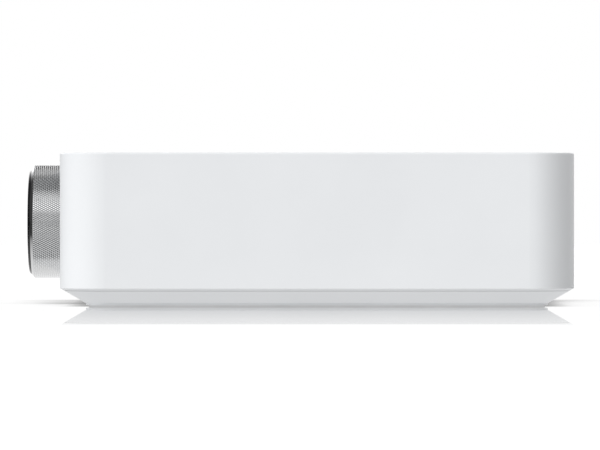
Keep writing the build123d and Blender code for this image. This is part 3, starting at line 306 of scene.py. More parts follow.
def vector_step(tree, operation, first, second):
    """The result of a Vector Math node with two vectors."""
    inputs = {0: first, 1: second}
    return put(tree, "ShaderNodeVectorMath", inputs, operation=operation).outputs[0]


def object_place(tree):
    """Coordinates in the piece's own frame, in metres."""
    return put(tree, "ShaderNodeTexCoord").outputs["Object"]


def world_place(tree):
    """The three parts of a place in the scene, in metres."""
    position = put(tree, "ShaderNodeNewGeometry").outputs["Position"]
    return put(tree, "ShaderNodeSeparateXYZ", {0: position}).outputs


def choose(tree, mask, first, second):
    """The first value where the mask is nothing and the second where it is all."""
    return put(tree, "ShaderNodeMix", {0: mask, 2: first, 3: second}).outputs[0]


def moulded_grain():
    """Fine spark-eroded grain with faint cloudy patches."""
    tree, start, end = new_group(
        "Moulded Grain",
        [("Grain Size", "NodeSocketFloat", 0.0005), ("Patch Size", "NodeSocketFloat", 0.03)],
        ["Height", "Patch", "Speckle"],
    )
    place = object_place(tree)
    grain = put(
        tree,
        "ShaderNodeTexNoise",
        {"Vector": place, "Scale": reckon(tree, "DIVIDE", 1.0, start.outputs[0]), "Detail": 2.0},
    ).outputs[0]
    patch = put(
        tree,
        "ShaderNodeTexNoise",
        {"Vector": place, "Scale": reckon(tree, "DIVIDE", 1.0, start.outputs[1]), "Detail": 3.0},
    ).outputs[0]
    wire(tree, end, "Height", grain)
    wire(tree, end, "Patch", spread(tree, patch, 0.35, 0.65))
    wire(tree, end, "Speckle", spread(tree, grain, 0.35, 0.65))
    return tree


def drawn_lines():
    """Long fine lines from drawing, rolling or brushing."""
    tree, start, end = new_group(
        "Drawn Lines", [("Lines per Metre", "NodeSocketVector", (300.0, 300.0, 9000.0))],
        ["Height", "Shade"],
    )
    place = vector_step(tree, "MULTIPLY", object_place(tree), start.outputs[0])
    lines = put(
        tree, "ShaderNodeTexNoise", {"Vector": place, "Scale": 1.0, "Detail": 4.0}
    ).outputs[0]
    wire(tree, end, "Height", lines)
    wire(tree, end, "Shade", spread(tree, lines, 0.3, 0.7))
    return tree


def turned_rings():
    """Concentric tool marks about a centre, for pieces turned about the depth axis."""
    tree, start, end = new_group(
        "Turned Rings",
        [("Centre", "NodeSocketVector", (0.0, 0.0, 0.0)), ("Feed", "NodeSocketFloat", 0.0001)],
        ["Height", "Shade", "Radius"],
    )
    offset = vector_step(tree, "SUBTRACT", object_place(tree), start.outputs[0])
    parts = put(tree, "ShaderNodeSeparateXYZ", {0: offset}).outputs
    flat = put(tree, "ShaderNodeCombineXYZ", {0: parts[0], 2: parts[2]}).outputs[0]
    radius = put(
        tree, "ShaderNodeVectorMath", {0: flat}, operation="LENGTH"
    ).outputs["Value"]
    along = reckon(tree, "MULTIPLY_ADD", radius, 1.0, parts[1])
    rings = put(
        tree,
        "ShaderNodeTexNoise",
        {"W": reckon(tree, "DIVIDE", along, start.outputs[1]), "Scale": 1.0, "Detail": 2.0},
        noise_dimensions="1D",
    ).outputs[0]
    wire(tree, end, "Height", rings)
    wire(tree, end, "Shade", spread(tree, rings, 0.3, 0.7))
    wire(tree, end, "Radius", radius)
    return tree


def handling_marks():
    """Soft smudges and a few hair scratches on polished faces."""
    tree, start, end = new_group(
        "Handling Marks", [("Smudge Size", "NodeSocketFloat", 0.012)], ["Smudge", "Scratch"]
    )
    place = object_place(tree)
    smudge = put(
        tree,
        "ShaderNodeTexNoise",
        {
            "Vector": place,
            "Scale": reckon(tree, "DIVIDE", 1.0, start.outputs[0]),
            "Detail": 4.0,
            "Distortion": 0.6,
        },
    ).outputs[0]
    hair = vector_step(tree, "MULTIPLY", place, (900.0, 60.0, 2400.0))
    scratch = put(
        tree, "ShaderNodeTexVoronoi", {"Vector": hair, "Scale": 1.0},
        feature="DISTANCE_TO_EDGE",
    ).outputs[0]
    wire(tree, end, "Smudge", spread(tree, smudge, 0.45, 0.75))
    wire(tree, end, "Scratch", spread(tree, scratch, 0.0, 0.015, 1.0, 0.0))
    return tree


def circuit_tracks():
    """Copper tracks at right and half-right angles, with round tinned pads."""
    tree, start, end = new_group(
        "Circuit Tracks", [("Track Pitch", "NodeSocketFloat", 0.0022)], ["Track", "Pad", "Height"]
    )
    place = object_place(tree)
    scale = reckon(tree, "DIVIDE", 1.0, start.outputs[0])
    near, second = (
        put(
            tree,
            "ShaderNodeTexVoronoi",
            {"Vector": place, "Scale": scale},
            feature=feature,
            distance="MANHATTAN",
        ).outputs["Distance"]
        for feature in ("F1", "F2")
    )
    gap = reckon(tree, "SUBTRACT", second, near)
    track = spread(tree, gap, 0.16, 0.24, 1.0, 0.0)
    pad_scale = reckon(tree, "MULTIPLY", scale, 0.6)
    dots = put(
        tree, "ShaderNodeTexVoronoi", {"Vector": place, "Scale": pad_scale}
    ).outputs["Distance"]
    pad = spread(tree, dots, 0.13, 0.17, 1.0, 0.0)
    wire(tree, end, "Track", track)
    wire(tree, end, "Pad", pad)
    wire(tree, end, "Height", reckon(tree, "MAXIMUM", track, pad))
    return tree


def upward_faces():
    """A mask of the faces that look up."""
    tree, start, end = new_group(
        "Upward Faces", [("Steepness", "NodeSocketFloat", 0.8)], ["Up"]
    )
    normal = put(tree, "ShaderNodeNewGeometry").outputs["True Normal"]
    up = put(tree, "ShaderNodeSeparateXYZ", {0: normal}).outputs[2]
    wire(tree, end, "Up", reckon(tree, "GREATER_THAN", up, start.outputs[0]))
    return tree


GROUPS = {
    "grain": moulded_grain,
    "lines": drawn_lines,
    "rings": turned_rings,
    "marks": handling_marks,
    "tracks": circuit_tracks,
    "up": upward_faces,
}


def effect(tree, name, inputs=()):
    """Places a shared effect in a material and gives its outputs."""
    maker = GROUPS[name]
    label = maker.__name__.replace("_", " ").title()
    group = bpy.data.node_groups.get(label) or maker()
    return put(tree, "ShaderNodeGroup", inputs, node_tree=group).outputs


def new_finish(name, roughness, metallic=0.0, ior=1.5):
    """A material with its surface shader."""
    material = bpy.data.materials.new(name)
    material.use_nodes = True
    tree = material.node_tree
    surface = tree.nodes["Principled BSDF"]
    surface.inputs["Roughness"].default_value = roughness
    surface.inputs["Metallic"].default_value = metallic
    surface.inputs["IOR"].default_value = ior
    return material, tree, surface


def raise_surface(tree, surface, height, depth, strength=1.0):
    """Shapes a surface's normal from a height."""
    bump = put(tree, "ShaderNodeBump", {"Strength": strength, "Distance": depth, "Height": height})
    wire(tree, surface, "Normal", bump.outputs[0])


def moulded(name, first, second, roughness, grain=0.0005, depth=0.00001, patch=0.02):
    """A moulded plastic or rubber with fine grain and a cloudy second colour."""
    material, tree, surface = new_finish(name, roughness)
    grained = effect(tree, "grain", {"Grain Size": grain, "Patch Size": patch})
    wire(tree, surface, "Base Color", blend_colours(tree, grained["Patch"], first, second))
    wire(
        tree, surface, "Roughness",
        spread(tree, grained["Speckle"], 0.0, 1.0, roughness * 0.9, min(roughness * 1.1, 1.0)),
    )
    raise_surface(tree, surface, grained["Height"], depth)
    return material


def polished(name, first, second, roughness, smudge=0.012):
    """A glossy moulded plastic with faint handling marks."""
    material, tree, surface = new_finish(name, roughness)
    marks = effect(tree, "marks", {"Smudge Size": smudge})
    wire(tree, surface, "Base Color", blend_colours(tree, marks["Smudge"], first, second))
    worn = reckon(tree, "MAXIMUM", marks["Smudge"], marks["Scratch"])
    wire(tree, surface, "Roughness", spread(tree, worn, 0.0, 1.0, roughness, roughness * 1.8))
    return material


def drawn_metal(name, metal, shade, roughness, lines=(300.0, 300.0, 9000.0), depth=0.000004):
    """A rolled, drawn or brushed metal."""
    material, tree, surface = new_finish(name, roughness, metallic=1.0)
    drawn = effect(tree, "lines", {"Lines per Metre": lines})
    wire(tree, surface, "Base Color", blend_colours(tree, drawn["Shade"], shade, metal))
    wire(
        tree, surface, "Roughness",
        spread(tree, drawn["Shade"], 0.0, 1.0, roughness * 0.8, roughness * 1.25),
    )
    raise_surface(tree, surface, drawn["Height"], depth)
    return material


def turned_metal(name, metal, shade, roughness, centre, feed=0.00012, depth=0.000003):
    """A metal turned about the depth axis."""
    material, tree, surface = new_finish(name, roughness, metallic=1.0)
    rings = effect(tree, "rings", {"Centre": centre, "Feed": feed})
    wire(tree, surface, "Base Color", blend_colours(tree, rings["Shade"], shade, metal))
    wire(
        tree, surface, "Roughness",
        spread(tree, rings["Shade"], 0.0, 1.0, roughness * 0.85, roughness * 1.15),
    )
    raise_surface(tree, surface, rings["Height"], depth)
    return material


def knurled_metal(sizes, centre, outer):
    """The knob's turned metal, with painted shade down in the knurl's grooves and crests painted
    lighter than the knob's plain aluminium.
    """
    material = turned_metal(
        "knob_knurl", sizes.crest, darker(sizes.crest, 0.92), KNOB_ROUGHNESS, centre,
        depth=KNOB_MARK_DEPTH,
    )
    tree = material.node_tree
    surface = tree.nodes["Principled BSDF"]
    rings = next(node for node in tree.nodes if node.type == "GROUP")
    # Painted shade: the colour darkens towards the bottom of the knurl's grooves, by the radius
    # from the axis.
    crest = spread(
        tree, rings.outputs["Radius"], outer - sizes.depth, outer - sizes.depth * 0.3
    )
    turned = surface.inputs["Base Color"].links[0].from_socket
    groove = darker(sizes.crest, sizes.groove)
    wire(tree, surface, "Base Color", blend_colours(tree, crest, groove, turned))
    return material


def darker(value, factor=0.8):
    """A darker copy of a colour."""
    return tuple(part * factor for part in value)


def dress(material, *names):
    """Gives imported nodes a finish."""
    for name in names:
        NODES[name].material_slots[0].material = material


# Mesh building


def middle(node):
    """The middle of a node's box and half of its width."""
    low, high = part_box(node)
    return (low + high) / 2, (high.x - low.x) / 2


def around(centre, radius, turn, y):
    """A point on a circle about the depth axis."""
    return Vector(
        (centre.x + radius * math.cos(turn), y, centre.z + radius * math.sin(turn))
    )


def move_loop(verts, centre, radius, y):
    """Moves a loop to another radius and depth, each point on its own ray."""
    for vert in verts:
        turn = math.atan2(vert.co.z - centre.z, vert.co.x - centre.x)
        vert.co = around(centre, radius, turn, y)


def draw_out(mesh, edges, centre, steps):
    """Carries an open loop along a profile of radius and depth, with sharp edges at its turns."""
    for radius, y in steps:
        grown = bmesh.ops.extrude_edge_only(mesh, edges=edges)["geom"]
        verts = [part for part in grown if isinstance(part, bmesh.types.BMVert)]
        edges_before = edges
        edges = [
            part
            for part in grown
            if isinstance(part, bmesh.types.BMEdge) and all(v in set(verts) for v in part.verts)
        ]
        move_loop(verts, centre, radius, y)
        for edge in edges_before:
            edge.smooth = False
    for edge in edges:
        edge.smooth = False
    return edges


def add_piece(name, mesh, material, body, slot, *nodes):
    """Turns a finished bmesh into a piece that rides on a body and stands for CAD nodes."""
    bmesh.ops.recalc_face_normals(mesh, faces=mesh.faces)
    data = bpy.data.meshes.new(name)
    mesh.to_mesh(data)
    mesh.free()
    data.materials.append(material)
    piece = bpy.data.objects.new(name, data)
    bpy.context.scene.collection.objects.link(piece)
    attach(piece, body)
    if nodes:
        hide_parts(*nodes)
    return piece


def knurl_lattice(mesh, centre, outer, start, stop, sizes):
    """The unbroken knurl: flat-topped diamonds between crossing grooves, past both ends."""
    count = sizes.diamonds
    first = math.floor(start / sizes.pitch) - 1
    last = math.ceil(stop / sizes.pitch) + 1
    valley = outer - sizes.depth
    corners = {}

    def corner(column, row):
        """A groove crossing, in half pitches round and along."""
        key = (column % (2 * count), row)
        if key not in corners:
            turn = math.pi * column / count
            corners[key] = mesh.verts.new(around(centre, valley, turn, row * sizes.pitch / 2))
        return corners[key]

    for row in range(2 * first, 2 * last + 1):
        for column in range(row % 2, 2 * count, 2):
            foot = [
                corner(column - 1, row),
                corner(column, row - 1),
                corner(column + 1, row),
                corner(column, row + 1),
            ]
            flat = [
                mesh.verts.new(
                    around(
                        centre,
                        outer,
                        math.pi * (column + across * sizes.flat) / count,
                        (row + along * sizes.flat) * sizes.pitch / 2,
                    )
                )
                for across, along in ((-1, 0), (0, -1), (1, 0), (0, 1))
            ]
            mesh.faces.new(flat)
            for side in range(4):
                after = (side + 1) % 4
                mesh.faces.new((foot[side], foot[after], flat[after], flat[side]))


def cut_end(mesh, centre, outer, edge_y, reach, outward):
    """Trims the knurl against a chamfer, which leaves the scalloped edge, and opens the end."""
    for step in range(CUT_STEPS + 1):
        y = edge_y + outward * reach * step / CUT_STEPS
        bmesh.ops.bisect_plane(
            mesh,
            geom=mesh.verts[:] + mesh.edges[:] + mesh.faces[:],
            plane_co=(0.0, y, 0.0),
            plane_no=(0.0, outward, 0.0),
            clear_outer=step == CUT_STEPS,
        )
    for vert in mesh.verts:
        past = outward * (vert.co.y - edge_y)
        if past > 0.0:
            offset = Vector((vert.co.x - centre.x, 0.0, vert.co.z - centre.z))
            if offset.length > outer - past:
                offset *= (outer - past) / offset.length
                vert.co = Vector((centre.x + offset.x, vert.co.y, centre.z + offset.z))
    end_y = edge_y + outward * reach
    return [
        edge for edge in mesh.edges
        if edge.is_boundary and all(abs(v.co.y - end_y) < SAME_PLACE for v in edge.verts)
    ]


def knurled_ring(sizes):
    """The knob's ring: a knurled band, turned chamfers, and the pocket and bore behind them."""
    centre, outer = middle("knob_ring")
    low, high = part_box("knob_ring")
    front, back = low.y, high.y
    reach = sizes.depth + CUT_SPARE
    mesh = bmesh.new()
    knurl_lattice(mesh, centre, outer, front, back, sizes)
    front_loop = cut_end(mesh, centre, outer, front + sizes.chamfer, reach, -1.0)
    back_loop = cut_end(mesh, centre, outer, back - sizes.back_chamfer, reach, 1.0)
    knurled = set(mesh.faces)
    pocket = outer - sizes.chamfer - sizes.land
    bore = outer - sizes.wall
    edge = sizes.edge
    front_end = draw_out(
        mesh,
        front_loop,
        centre,
        [
            (outer - sizes.chamfer + edge, front + edge),
            (outer - sizes.chamfer, front),
            (pocket + edge, front),
            (pocket, front + edge),
            (pocket, front + sizes.seat),
            (bore, front + sizes.seat),
        ],
    )
    back_end = draw_out(
        mesh, back_loop, centre, [(outer - sizes.back_chamfer, back), (bore, back)]
    )
    bmesh.ops.bridge_loops(mesh, edges=front_end + back_end)
    for face in mesh.faces:
        face.smooth = face not in knurled
        place = face.calc_center_median().y
        face.material_index = int(
            not face.smooth and front + sizes.chamfer < place < back - sizes.back_chamfer
        )
    return mesh


def turned_solid(centre, profile, segments):
    """A closed solid of revolution about the depth axis, from its front pole to its back pole."""
    mesh = bmesh.new()
    (_, pole_front), *rings, (_, pole_back) = profile
    turns = [2 * math.pi * index / segments for index in range(segments)]
    loops = [
        [mesh.verts.new(around(centre, radius, turn, y)) for turn in turns] for radius, y in rings
    ]
    tips = [mesh.verts.new((centre.x, y, centre.z)) for y in (pole_front, pole_back)]
    for index in range(segments):
        after = (index + 1) % segments
        for first, second in zip(loops, loops[1:]):
            mesh.faces.new((first[index], first[after], second[after], second[index]))
        mesh.faces.new((tips[0], loops[0][after], loops[0][index]))
        mesh.faces.new((tips[1], loops[-1][index], loops[-1][after]))
    for face in mesh.faces:
        face.smooth = True
    return mesh


def domed_glass(sizes):
    """The black face: a gentle dome that rolls over into its rim."""
    centre, outer = middle("knob_glass")
    low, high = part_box("knob_glass")
    face_edge = outer - sizes.rim
    dome_radius = (face_edge**2 + sizes.dome**2) / (2 * sizes.dome)
    profile = [(0.0, low.y)]
    for ring in range(1, GLASS_RINGS + 1):
        radius = face_edge * ring / GLASS_RINGS
        drop = dome_radius - math.sqrt(dome_radius**2 - radius**2)
        profile.append((radius, low.y + drop))
    for step in range(1, GLASS_RIM_STEPS + 1):
        turn = math.pi / 2 * step / GLASS_RIM_STEPS
        profile.append(
            (
                face_edge + sizes.rim * math.sin(turn),
                low.y + sizes.dome + sizes.rim * (1 - math.cos(turn)),
            )
        )
    bevel = GLASS_BACK_BEVEL
    profile += [(outer, high.y - bevel), (outer, high.y), (outer - bevel, high.y), (0.0, high.y)]
    return turned_solid(centre, profile, GLASS_SEGMENTS)


# Operators


class StreamerOperator:
    """What each step has in common."""

    bl_options = {"REGISTER", "UNDO"}


class STREAMER_OT_camera(StreamerOperator, bpy.types.Operator):
    """Stand the camera at the photograph's low side view"""

    bl_idname = "streamer.camera"
    bl_label = "Camera"

    def execute(self, context):
        studio = settings().studio
        data = bpy.data.cameras.new("camera")
        data.lens = studio.lens
        data.sensor_width = 36.0
        data.clip_end = 60.0
        camera = bpy.data.objects.new("camera", data)
        camera.location = (studio.distance, studio.side, studio.height)
        camera.rotation_euler = (math.pi / 2, 0.0, math.pi / 2)
        context.scene.collection.objects.link(camera)
        context.scene.camera = camera
        return {"FINISHED"}


class STREAMER_OT_casing(StreamerOperator, bpy.types.Operator):
    """Finish the white mouldings and the foot ring"""

    bl_idname = "streamer.casing"
    bl_label = "Casing and Foot"

    def execute(self, context):
        casing = settings().casing
        white = moulded(
            "case_white", casing.white, casing.white_patch, casing.satin, casing.grain,
            casing.grain_depth, 0.05,
        )
        dress(white, "top_shell", "base_tray")
        rubber = moulded("foot_rubber", casing.foot, darker(casing.foot, 0.93), 0.7, 0.0004)
        dress(rubber, "foot_ring")
        return {"FINISHED"}


class STREAMER_OT_knob(StreamerOperator, bpy.types.Operator):
    """Build the knurled ring and the domed black glass, and finish the hub"""

    bl_idname = "streamer.knob"
    bl_label = "Knob"

    def execute(self, context):
        sizes = settings().knob
        centre, outer = middle("knob_ring")
        satin = turned_metal(
            "knob_aluminium", sizes.metal, sizes.metal_shade, KNOB_ROUGHNESS, centre,
            depth=KNOB_MARK_DEPTH,
        )
        ring = add_piece(
            "knurled_ring", knurled_ring(sizes), satin, "knob", "knob_aluminium", "knob_ring"
        )
        ring.data.materials.append(knurled_metal(sizes, centre, outer))
        gloss = polished("knob_gloss", sizes.glass, darker(sizes.glass, 1.6), 0.035)
        gloss.node_tree.nodes["Principled BSDF"].inputs["IOR"].default_value = 1.52
        add_piece("domed_glass", domed_glass(sizes), gloss, "knob", "knob_gloss", "knob_glass")
        hub = moulded("hub_plastic", (0.05, 0.05, 0.053), (0.035, 0.035, 0.037), 0.5)
        dress(hub, "knob_hub", "encoder_rotor")
        return {"FINISHED"}


class STREAMER_OT_encoder(StreamerOperator, bpy.types.Operator):
    """Finish the encoder behind the knob"""

    bl_idname = "streamer.encoder"
    bl_label = "Encoder"

    def execute(self, context):
        centre, _ = middle("encoder_shaft")
        steel = turned_metal("shaft_steel", (0.6, 0.6, 0.58), (0.46, 0.46, 0.45), 0.3, centre)
        dress(steel, "encoder_shaft", "encoder_frame", "encoder_washer", "encoder_nut")
        black = moulded("encoder_black", (0.025, 0.025, 0.026), (0.035, 0.035, 0.036), 0.48, 0.0004)
        dress(black, "encoder_case", "push_switch", "reset_switch", "network_magnetics")
        return {"FINISHED"}


class STREAMER_OT_light_pipe(StreamerOperator, bpy.types.Operator):
    """Finish the status light and its clear pipe"""

    bl_idname = "streamer.light_pipe"
    bl_label = "Status Light"

    def execute(self, context):
        clear, tree, surface = new_finish("lens_clear", 0.12, ior=1.49)
        surface.inputs["Transmission Weight"].default_value = 1.0
        surface.inputs["Base Color"].default_value = (0.93, 0.95, 0.96, 1.0)
        frost = effect(tree, "grain", {"Grain Size": 0.0003, "Patch Size": 0.004})
        wire(tree, surface, "Roughness", spread(tree, frost["Speckle"], 0.0, 1.0, 0.08, 0.2))
        dress(clear, "status_lens")
        lamp = moulded("lamp_white", (0.8, 0.8, 0.74), (0.72, 0.7, 0.6), 0.35, 0.0003)
        dress(lamp, "status_led")
        return {"FINISHED"}


class STREAMER_OT_rear_panel(StreamerOperator, bpy.types.Operator):
    """Finish the black rear panel and the screws that show"""

    bl_idname = "streamer.rear_panel"
    bl_label = "Rear Panel and Screws"

    def execute(self, context):
        casing, sockets = settings().casing, settings().sockets
        panel = moulded(
            "panel_black", casing.panel, casing.panel_patch, 0.55, 0.0008, 0.00003, 0.012
        )
        dress(panel, "rear_panel")
        zinc = drawn_metal(
            "screw_steel", sockets.zinc, darker(sockets.zinc), 0.34, (2500.0, 2500.0, 900.0)
        )
        dress(
            zinc, "case_screws", "main_board_screws", "power_board_screws", "encoder_board_screws"
        )
        oxide = moulded("screw_black", sockets.oxide, darker(sockets.oxide, 1.6), 0.38, 0.0003)
        oxide.node_tree.nodes["Principled BSDF"].inputs["Metallic"].default_value = 0.7
        dress(oxide, "jack_screws")
        return {"FINISHED"}


class STREAMER_OT_sockets(StreamerOperator, bpy.types.Operator):
    """Finish the sockets, their plated parts, the collars, the flap and the button"""

    bl_idname = "streamer.sockets"
    bl_label = "Sockets"

    def execute(self, context):
        look = settings().sockets
        black = moulded("socket_black", look.moulding, darker(look.moulding, 1.7), 0.42, 0.0005)
        dress(black, "mains_inlet", "network_insert", "optical_housing", "phono_blocks")
        gold = drawn_metal(
            "contact_gold", look.gold, darker(look.gold, 0.85), 0.2, (700.0, 6000.0, 700.0),
            0.000002,
        )
        dress(gold, "network_contacts", "phono_sleeves", "phono_contacts")
        nickel = drawn_metal(
            "pin_nickel", look.nickel, darker(look.nickel), 0.18, (4000.0, 300.0, 4000.0), 0.000002
        )
        dress(nickel, "inlet_pins")
        tin = drawn_metal(
            "shield_tin", look.tin, darker(look.tin, 0.86), 0.32, (250.0, 6000.0, 6000.0)
        )
        dress(tin, "wifi_module", "network_shield", "usb_shield")
        for name, tone in (("white", look.white), ("red", look.red), ("dark", look.dark)):
            collar = polished(f"ring_{name}", tone, darker(tone, 0.85), 0.22, 0.003)
            dress(collar, f"phono_rings_{name}")
        tongue = moulded("tongue_white", (0.72, 0.72, 0.7), (0.66, 0.66, 0.63), 0.4)
        dress(tongue, "usb_tongue")
        flap = moulded("flap_grey", look.flap, darker(look.flap), 0.45)
        dress(flap, "optical_flap")
        button = moulded("button_grey", look.button, darker(look.button), 0.5, 0.0003)
        dress(button, "reset_button")
        return {"FINISHED"}


class STREAMER_OT_boards(StreamerOperator, bpy.types.Operator):
    """Finish the circuit boards, chips and heat sinks"""

    bl_idname = "streamer.boards"
    bl_label = "Circuit Boards"

    def execute(self, context):
        look = settings().boards
        board, tree, surface = new_finish("board_green", 0.3)
        printed = effect(tree, "tracks", {"Track Pitch": 0.0024})
        lacquer = blend_colours(tree, printed["Track"], look.mask, look.track)
        wire(tree, surface, "Base Color", blend_colours(tree, printed["Pad"], lacquer, look.solder))
        wire(tree, surface, "Metallic", printed["Pad"])
        wire(tree, surface, "Roughness", spread(tree, printed["Pad"], 0.0, 1.0, 0.28, 0.36))
        raise_surface(tree, surface, printed["Height"], 0.00004)
        dress(board, "main_board", "power_board", "encoder_board", "aerials")
        chip = moulded("chip_black", look.chip, darker(look.chip, 1.5), 0.55, 0.0003)
        dress(chip, "processor", "audio_chips")
        fin = drawn_metal(
            "fin_black", (0.05, 0.05, 0.054), (0.03, 0.03, 0.033), 0.42, (3000.0, 60.0, 3000.0)
        )
        dress(fin, "heat_sink", "power_heat_sink")
        return {"FINISHED"}


class STREAMER_OT_power_parts(StreamerOperator, bpy.types.Operator):
    """Finish the capacitors, the transformer and the mains filter"""

    bl_idname = "streamer.power_parts"
    bl_label = "Power Parts"

    def execute(self, context):
        look = settings().boards
        can, tree, surface = new_finish("can_sleeve", 0.3)
        top = effect(tree, "up", {"Steepness": 0.9})["Up"]
        drawn = effect(tree, "lines", {"Lines per Metre": (900.0, 900.0, 200.0)})
        sleeve = blend_colours(tree, drawn["Shade"], look.sleeve, darker(look.sleeve, 1.5))
        wire(tree, surface, "Base Color", blend_colours(tree, top, sleeve, look.can))
        wire(tree, surface, "Metallic", top)
        wire(tree, surface, "Roughness", spread(tree, top, 0.0, 1.0, 0.28, 0.36))
        raise_surface(tree, surface, drawn["Height"], 0.00001)
        dress(can, "audio_capacitors", "output_capacitors", "mains_capacitor")

        coil, tree, surface = new_finish("coil_tape", 0.38)
        centre, half = middle("power_transformer")
        offset = vector_step(tree, "SUBTRACT", object_place(tree), centre)
        parts = put(tree, "ShaderNodeSeparateXYZ", {0: offset}).outputs
        side = reckon(tree, "ABSOLUTE", parts[0])
        core = reckon(tree, "GREATER_THAN", side, half * 0.76)
        wraps = put(
            tree, "ShaderNodeTexWave", {"Vector": offset, "Scale": 95.0, "Distortion": 0.4},
            bands_direction="Z",
        ).outputs[1]
        tape = blend_colours(tree, wraps, look.tape, darker(look.tape))
        wire(tree, surface, "Base Color", blend_colours(tree, core, tape, look.core))
        wire(tree, surface, "Roughness", spread(tree, core, 0.0, 1.0, 0.32, 0.6))
        raise_surface(tree, surface, wraps, 0.00012)
        dress(coil, "power_transformer")

        box = moulded("filter_grey", (0.3, 0.31, 0.33), (0.24, 0.25, 0.27), 0.4)
        dress(box, "mains_filter")
        return {"FINISHED"}


class STREAMER_OT_leads(StreamerOperator, bpy.types.Operator):
    """Finish the ribbon, the leads and their plugs"""

    bl_idname = "streamer.leads"
    bl_label = "Ribbon and Leads"

    def execute(self, context):
        look = settings().boards
        film, tree, surface = new_finish("ribbon_white", 0.35)
        strips = put(
            tree, "ShaderNodeTexWave", {"Vector": object_place(tree), "Scale": 320.0},
            bands_direction="X",
        ).outputs[1]
        band = spread(tree, strips, 0.45, 0.55)
        wire(tree, surface, "Base Color", blend_colours(tree, band, look.film, look.conductor))
        raise_surface(tree, surface, band, 0.00002)
        dress(film, "control_ribbon")
        plug = moulded("plug_white", (0.78, 0.75, 0.68), (0.7, 0.67, 0.58), 0.42)
        dress(plug, "ribbon_sockets", "lead_plugs")
        red = moulded("lead_red", look.red, darker(look.red), 0.4, 0.0006, 0.000004, 0.01)
        dress(red, "power_lead")
        grey = moulded("lead_grey", look.grey, darker(look.grey), 0.45, 0.0004, 0.000004, 0.01)
        dress(grey, "aerial_leads")
        return {"FINISHED"}


class STREAMER_OT_stage(StreamerOperator, bpy.types.Operator):
    """Build the white glowing table, the soft key light and the sky"""

    bl_idname = "streamer.stage"
    bl_label = "Studio"

    def execute(self, context):
        studio = settings().studio
        floor = flat_stage("floor", FLOOR_SIZE)
        floor.data.materials.append(floor_material(studio))
        self.key_light(context, studio)
        context.scene.world = sky(studio)
        context.scene.view_settings.view_transform = "Standard"
        return {"FINISHED"}

    def key_light(self, context, studio):
        """One broad soft light from the front left."""
        data = bpy.data.lights.new("key", "SUN")
        data.energy = studio.key_power
        data.angle = studio.key_spread
        key = bpy.data.objects.new("key", data)
        source = aim(studio.key_angle, studio.key_rise)
        key.rotation_euler = source.to_track_quat("Z", "Y").to_euler()
        key.visible_glossy = False
        context.scene.collection.objects.link(key)


def aim(turn, rise):
    """A direction by its turn from the camera's side to the front, and its height."""
    return Vector(
        (math.cos(turn) * math.cos(rise), -math.sin(turn) * math.cos(rise), math.sin(rise))
    )


def towards(tree, direction, aimed, edge, core):
    """A mask round a direction, full within the core angle and gone past the edge angle."""
    nearness = put(
        tree, "ShaderNodeVectorMath", {0: direction, 1: aimed}, operation="DOT_PRODUCT"
    ).outputs["Value"]
    return spread(tree, nearness, math.cos(edge), math.cos(core), smooth=True)


def flat_stage(name, size):
    """A flat square of the set, at the origin."""
    mesh = bmesh.new()
    bmesh.ops.create_grid(mesh, x_segments=1, y_segments=1, size=0.5)
    bmesh.ops.scale(mesh, vec=(size, size, 1.0), verts=mesh.verts)
    data = bpy.data.meshes.new(name)
    mesh.to_mesh(data)
    mesh.free()
    sheet = bpy.data.objects.new(name, data)
    bpy.context.scene.collection.objects.link(sheet)
    return sheet


def floor_material(studio):
    """White table: it glows at the object, keeps the real shadow in its paint, carries a painted
    shade round the object in its glow and its mirror, and mirrors it at a low view.
    """
    material = bpy.data.materials.new("white_floor")
    material.use_nodes = True
    material.cycles.emission_sampling = "NONE"
    tree = material.node_tree
    tree.nodes.clear()
    tone = studio.floor
    paint = put(tree, "ShaderNodeBsdfDiffuse", {"Color": (tone, tone, tone, 1.0)})
    # Painted shade: an occlusion test and the place along the width darken the table's glow round
    # the object, stronger behind it and weaker along its near side.
    open_share = put(
        tree, "ShaderNodeAmbientOcclusion", {"Distance": studio.shade_reach}, samples=12
    ).outputs["AO"]
    place = world_place(tree)
    bend = spread(tree, place[0], BEND_FROM, BEND_TO, studio.shade_behind, studio.shade_bend)
    covered = reckon(tree, "POWER", reckon(tree, "SUBTRACT", 1.0, open_share), bend)
    thrown = spread(tree, place[0], THROWN_FROM, THROWN_TO, 1.0, studio.shade_before)
    shade = spread(
        tree, reckon(tree, "MULTIPLY", covered, thrown), 0.0, 1.0, 1.0, 1.0 - studio.shade_depth
    )
    lift = put(
        tree, "ShaderNodeEmission", {"Strength": reckon(tree, "MULTIPLY", shade, studio.floor_lift)}
    )
    white = put(tree, "ShaderNodeAddShader", {0: paint.outputs[0], 1: lift.outputs[0]})
    # Painted shade on the mirror: its colour darkens with the same shade.
    mirror = put(tree, "ShaderNodeBsdfGlossy", {"Color": shade, "Roughness": 0.0})
    table = put(
        tree,
        "ShaderNodeMixShader",
        {0: mirror_share(tree, studio), 1: white.outputs[0], 2: mirror.outputs[0]},
    )
    path = put(tree, "ShaderNodeLightPath").outputs
    mirrored = reckon(
        tree, "MINIMUM", spread(tree, place[0], 0.0, studio.table_end, 1.0, studio.room),
        spread(tree, place[1], FRONT_GLOW_END, FRONT_DARK_START, 1.0, FRONT_DARK),
    )
    strength = choose(tree, path["Is Glossy Ray"], studio.table_glow, mirrored)
    glow = put(tree, "ShaderNodeEmission", {"Strength": strength})
    bounced = reckon(tree, "MAXIMUM", path["Is Diffuse Ray"], path["Is Glossy Ray"])
    lit = put(
        tree, "ShaderNodeMixShader", {0: bounced, 1: table.outputs[0], 2: glow.outputs[0]}
    )
    below = put(tree, "ShaderNodeBsdfTransparent")
    behind = put(tree, "ShaderNodeNewGeometry").outputs["Backfacing"]
    sided = put(tree, "ShaderNodeMixShader", {0: behind, 1: lit.outputs[0], 2: below.outputs[0]})
    put(tree, "ShaderNodeOutputMaterial", {"Surface": sided.outputs[0]})
    return material


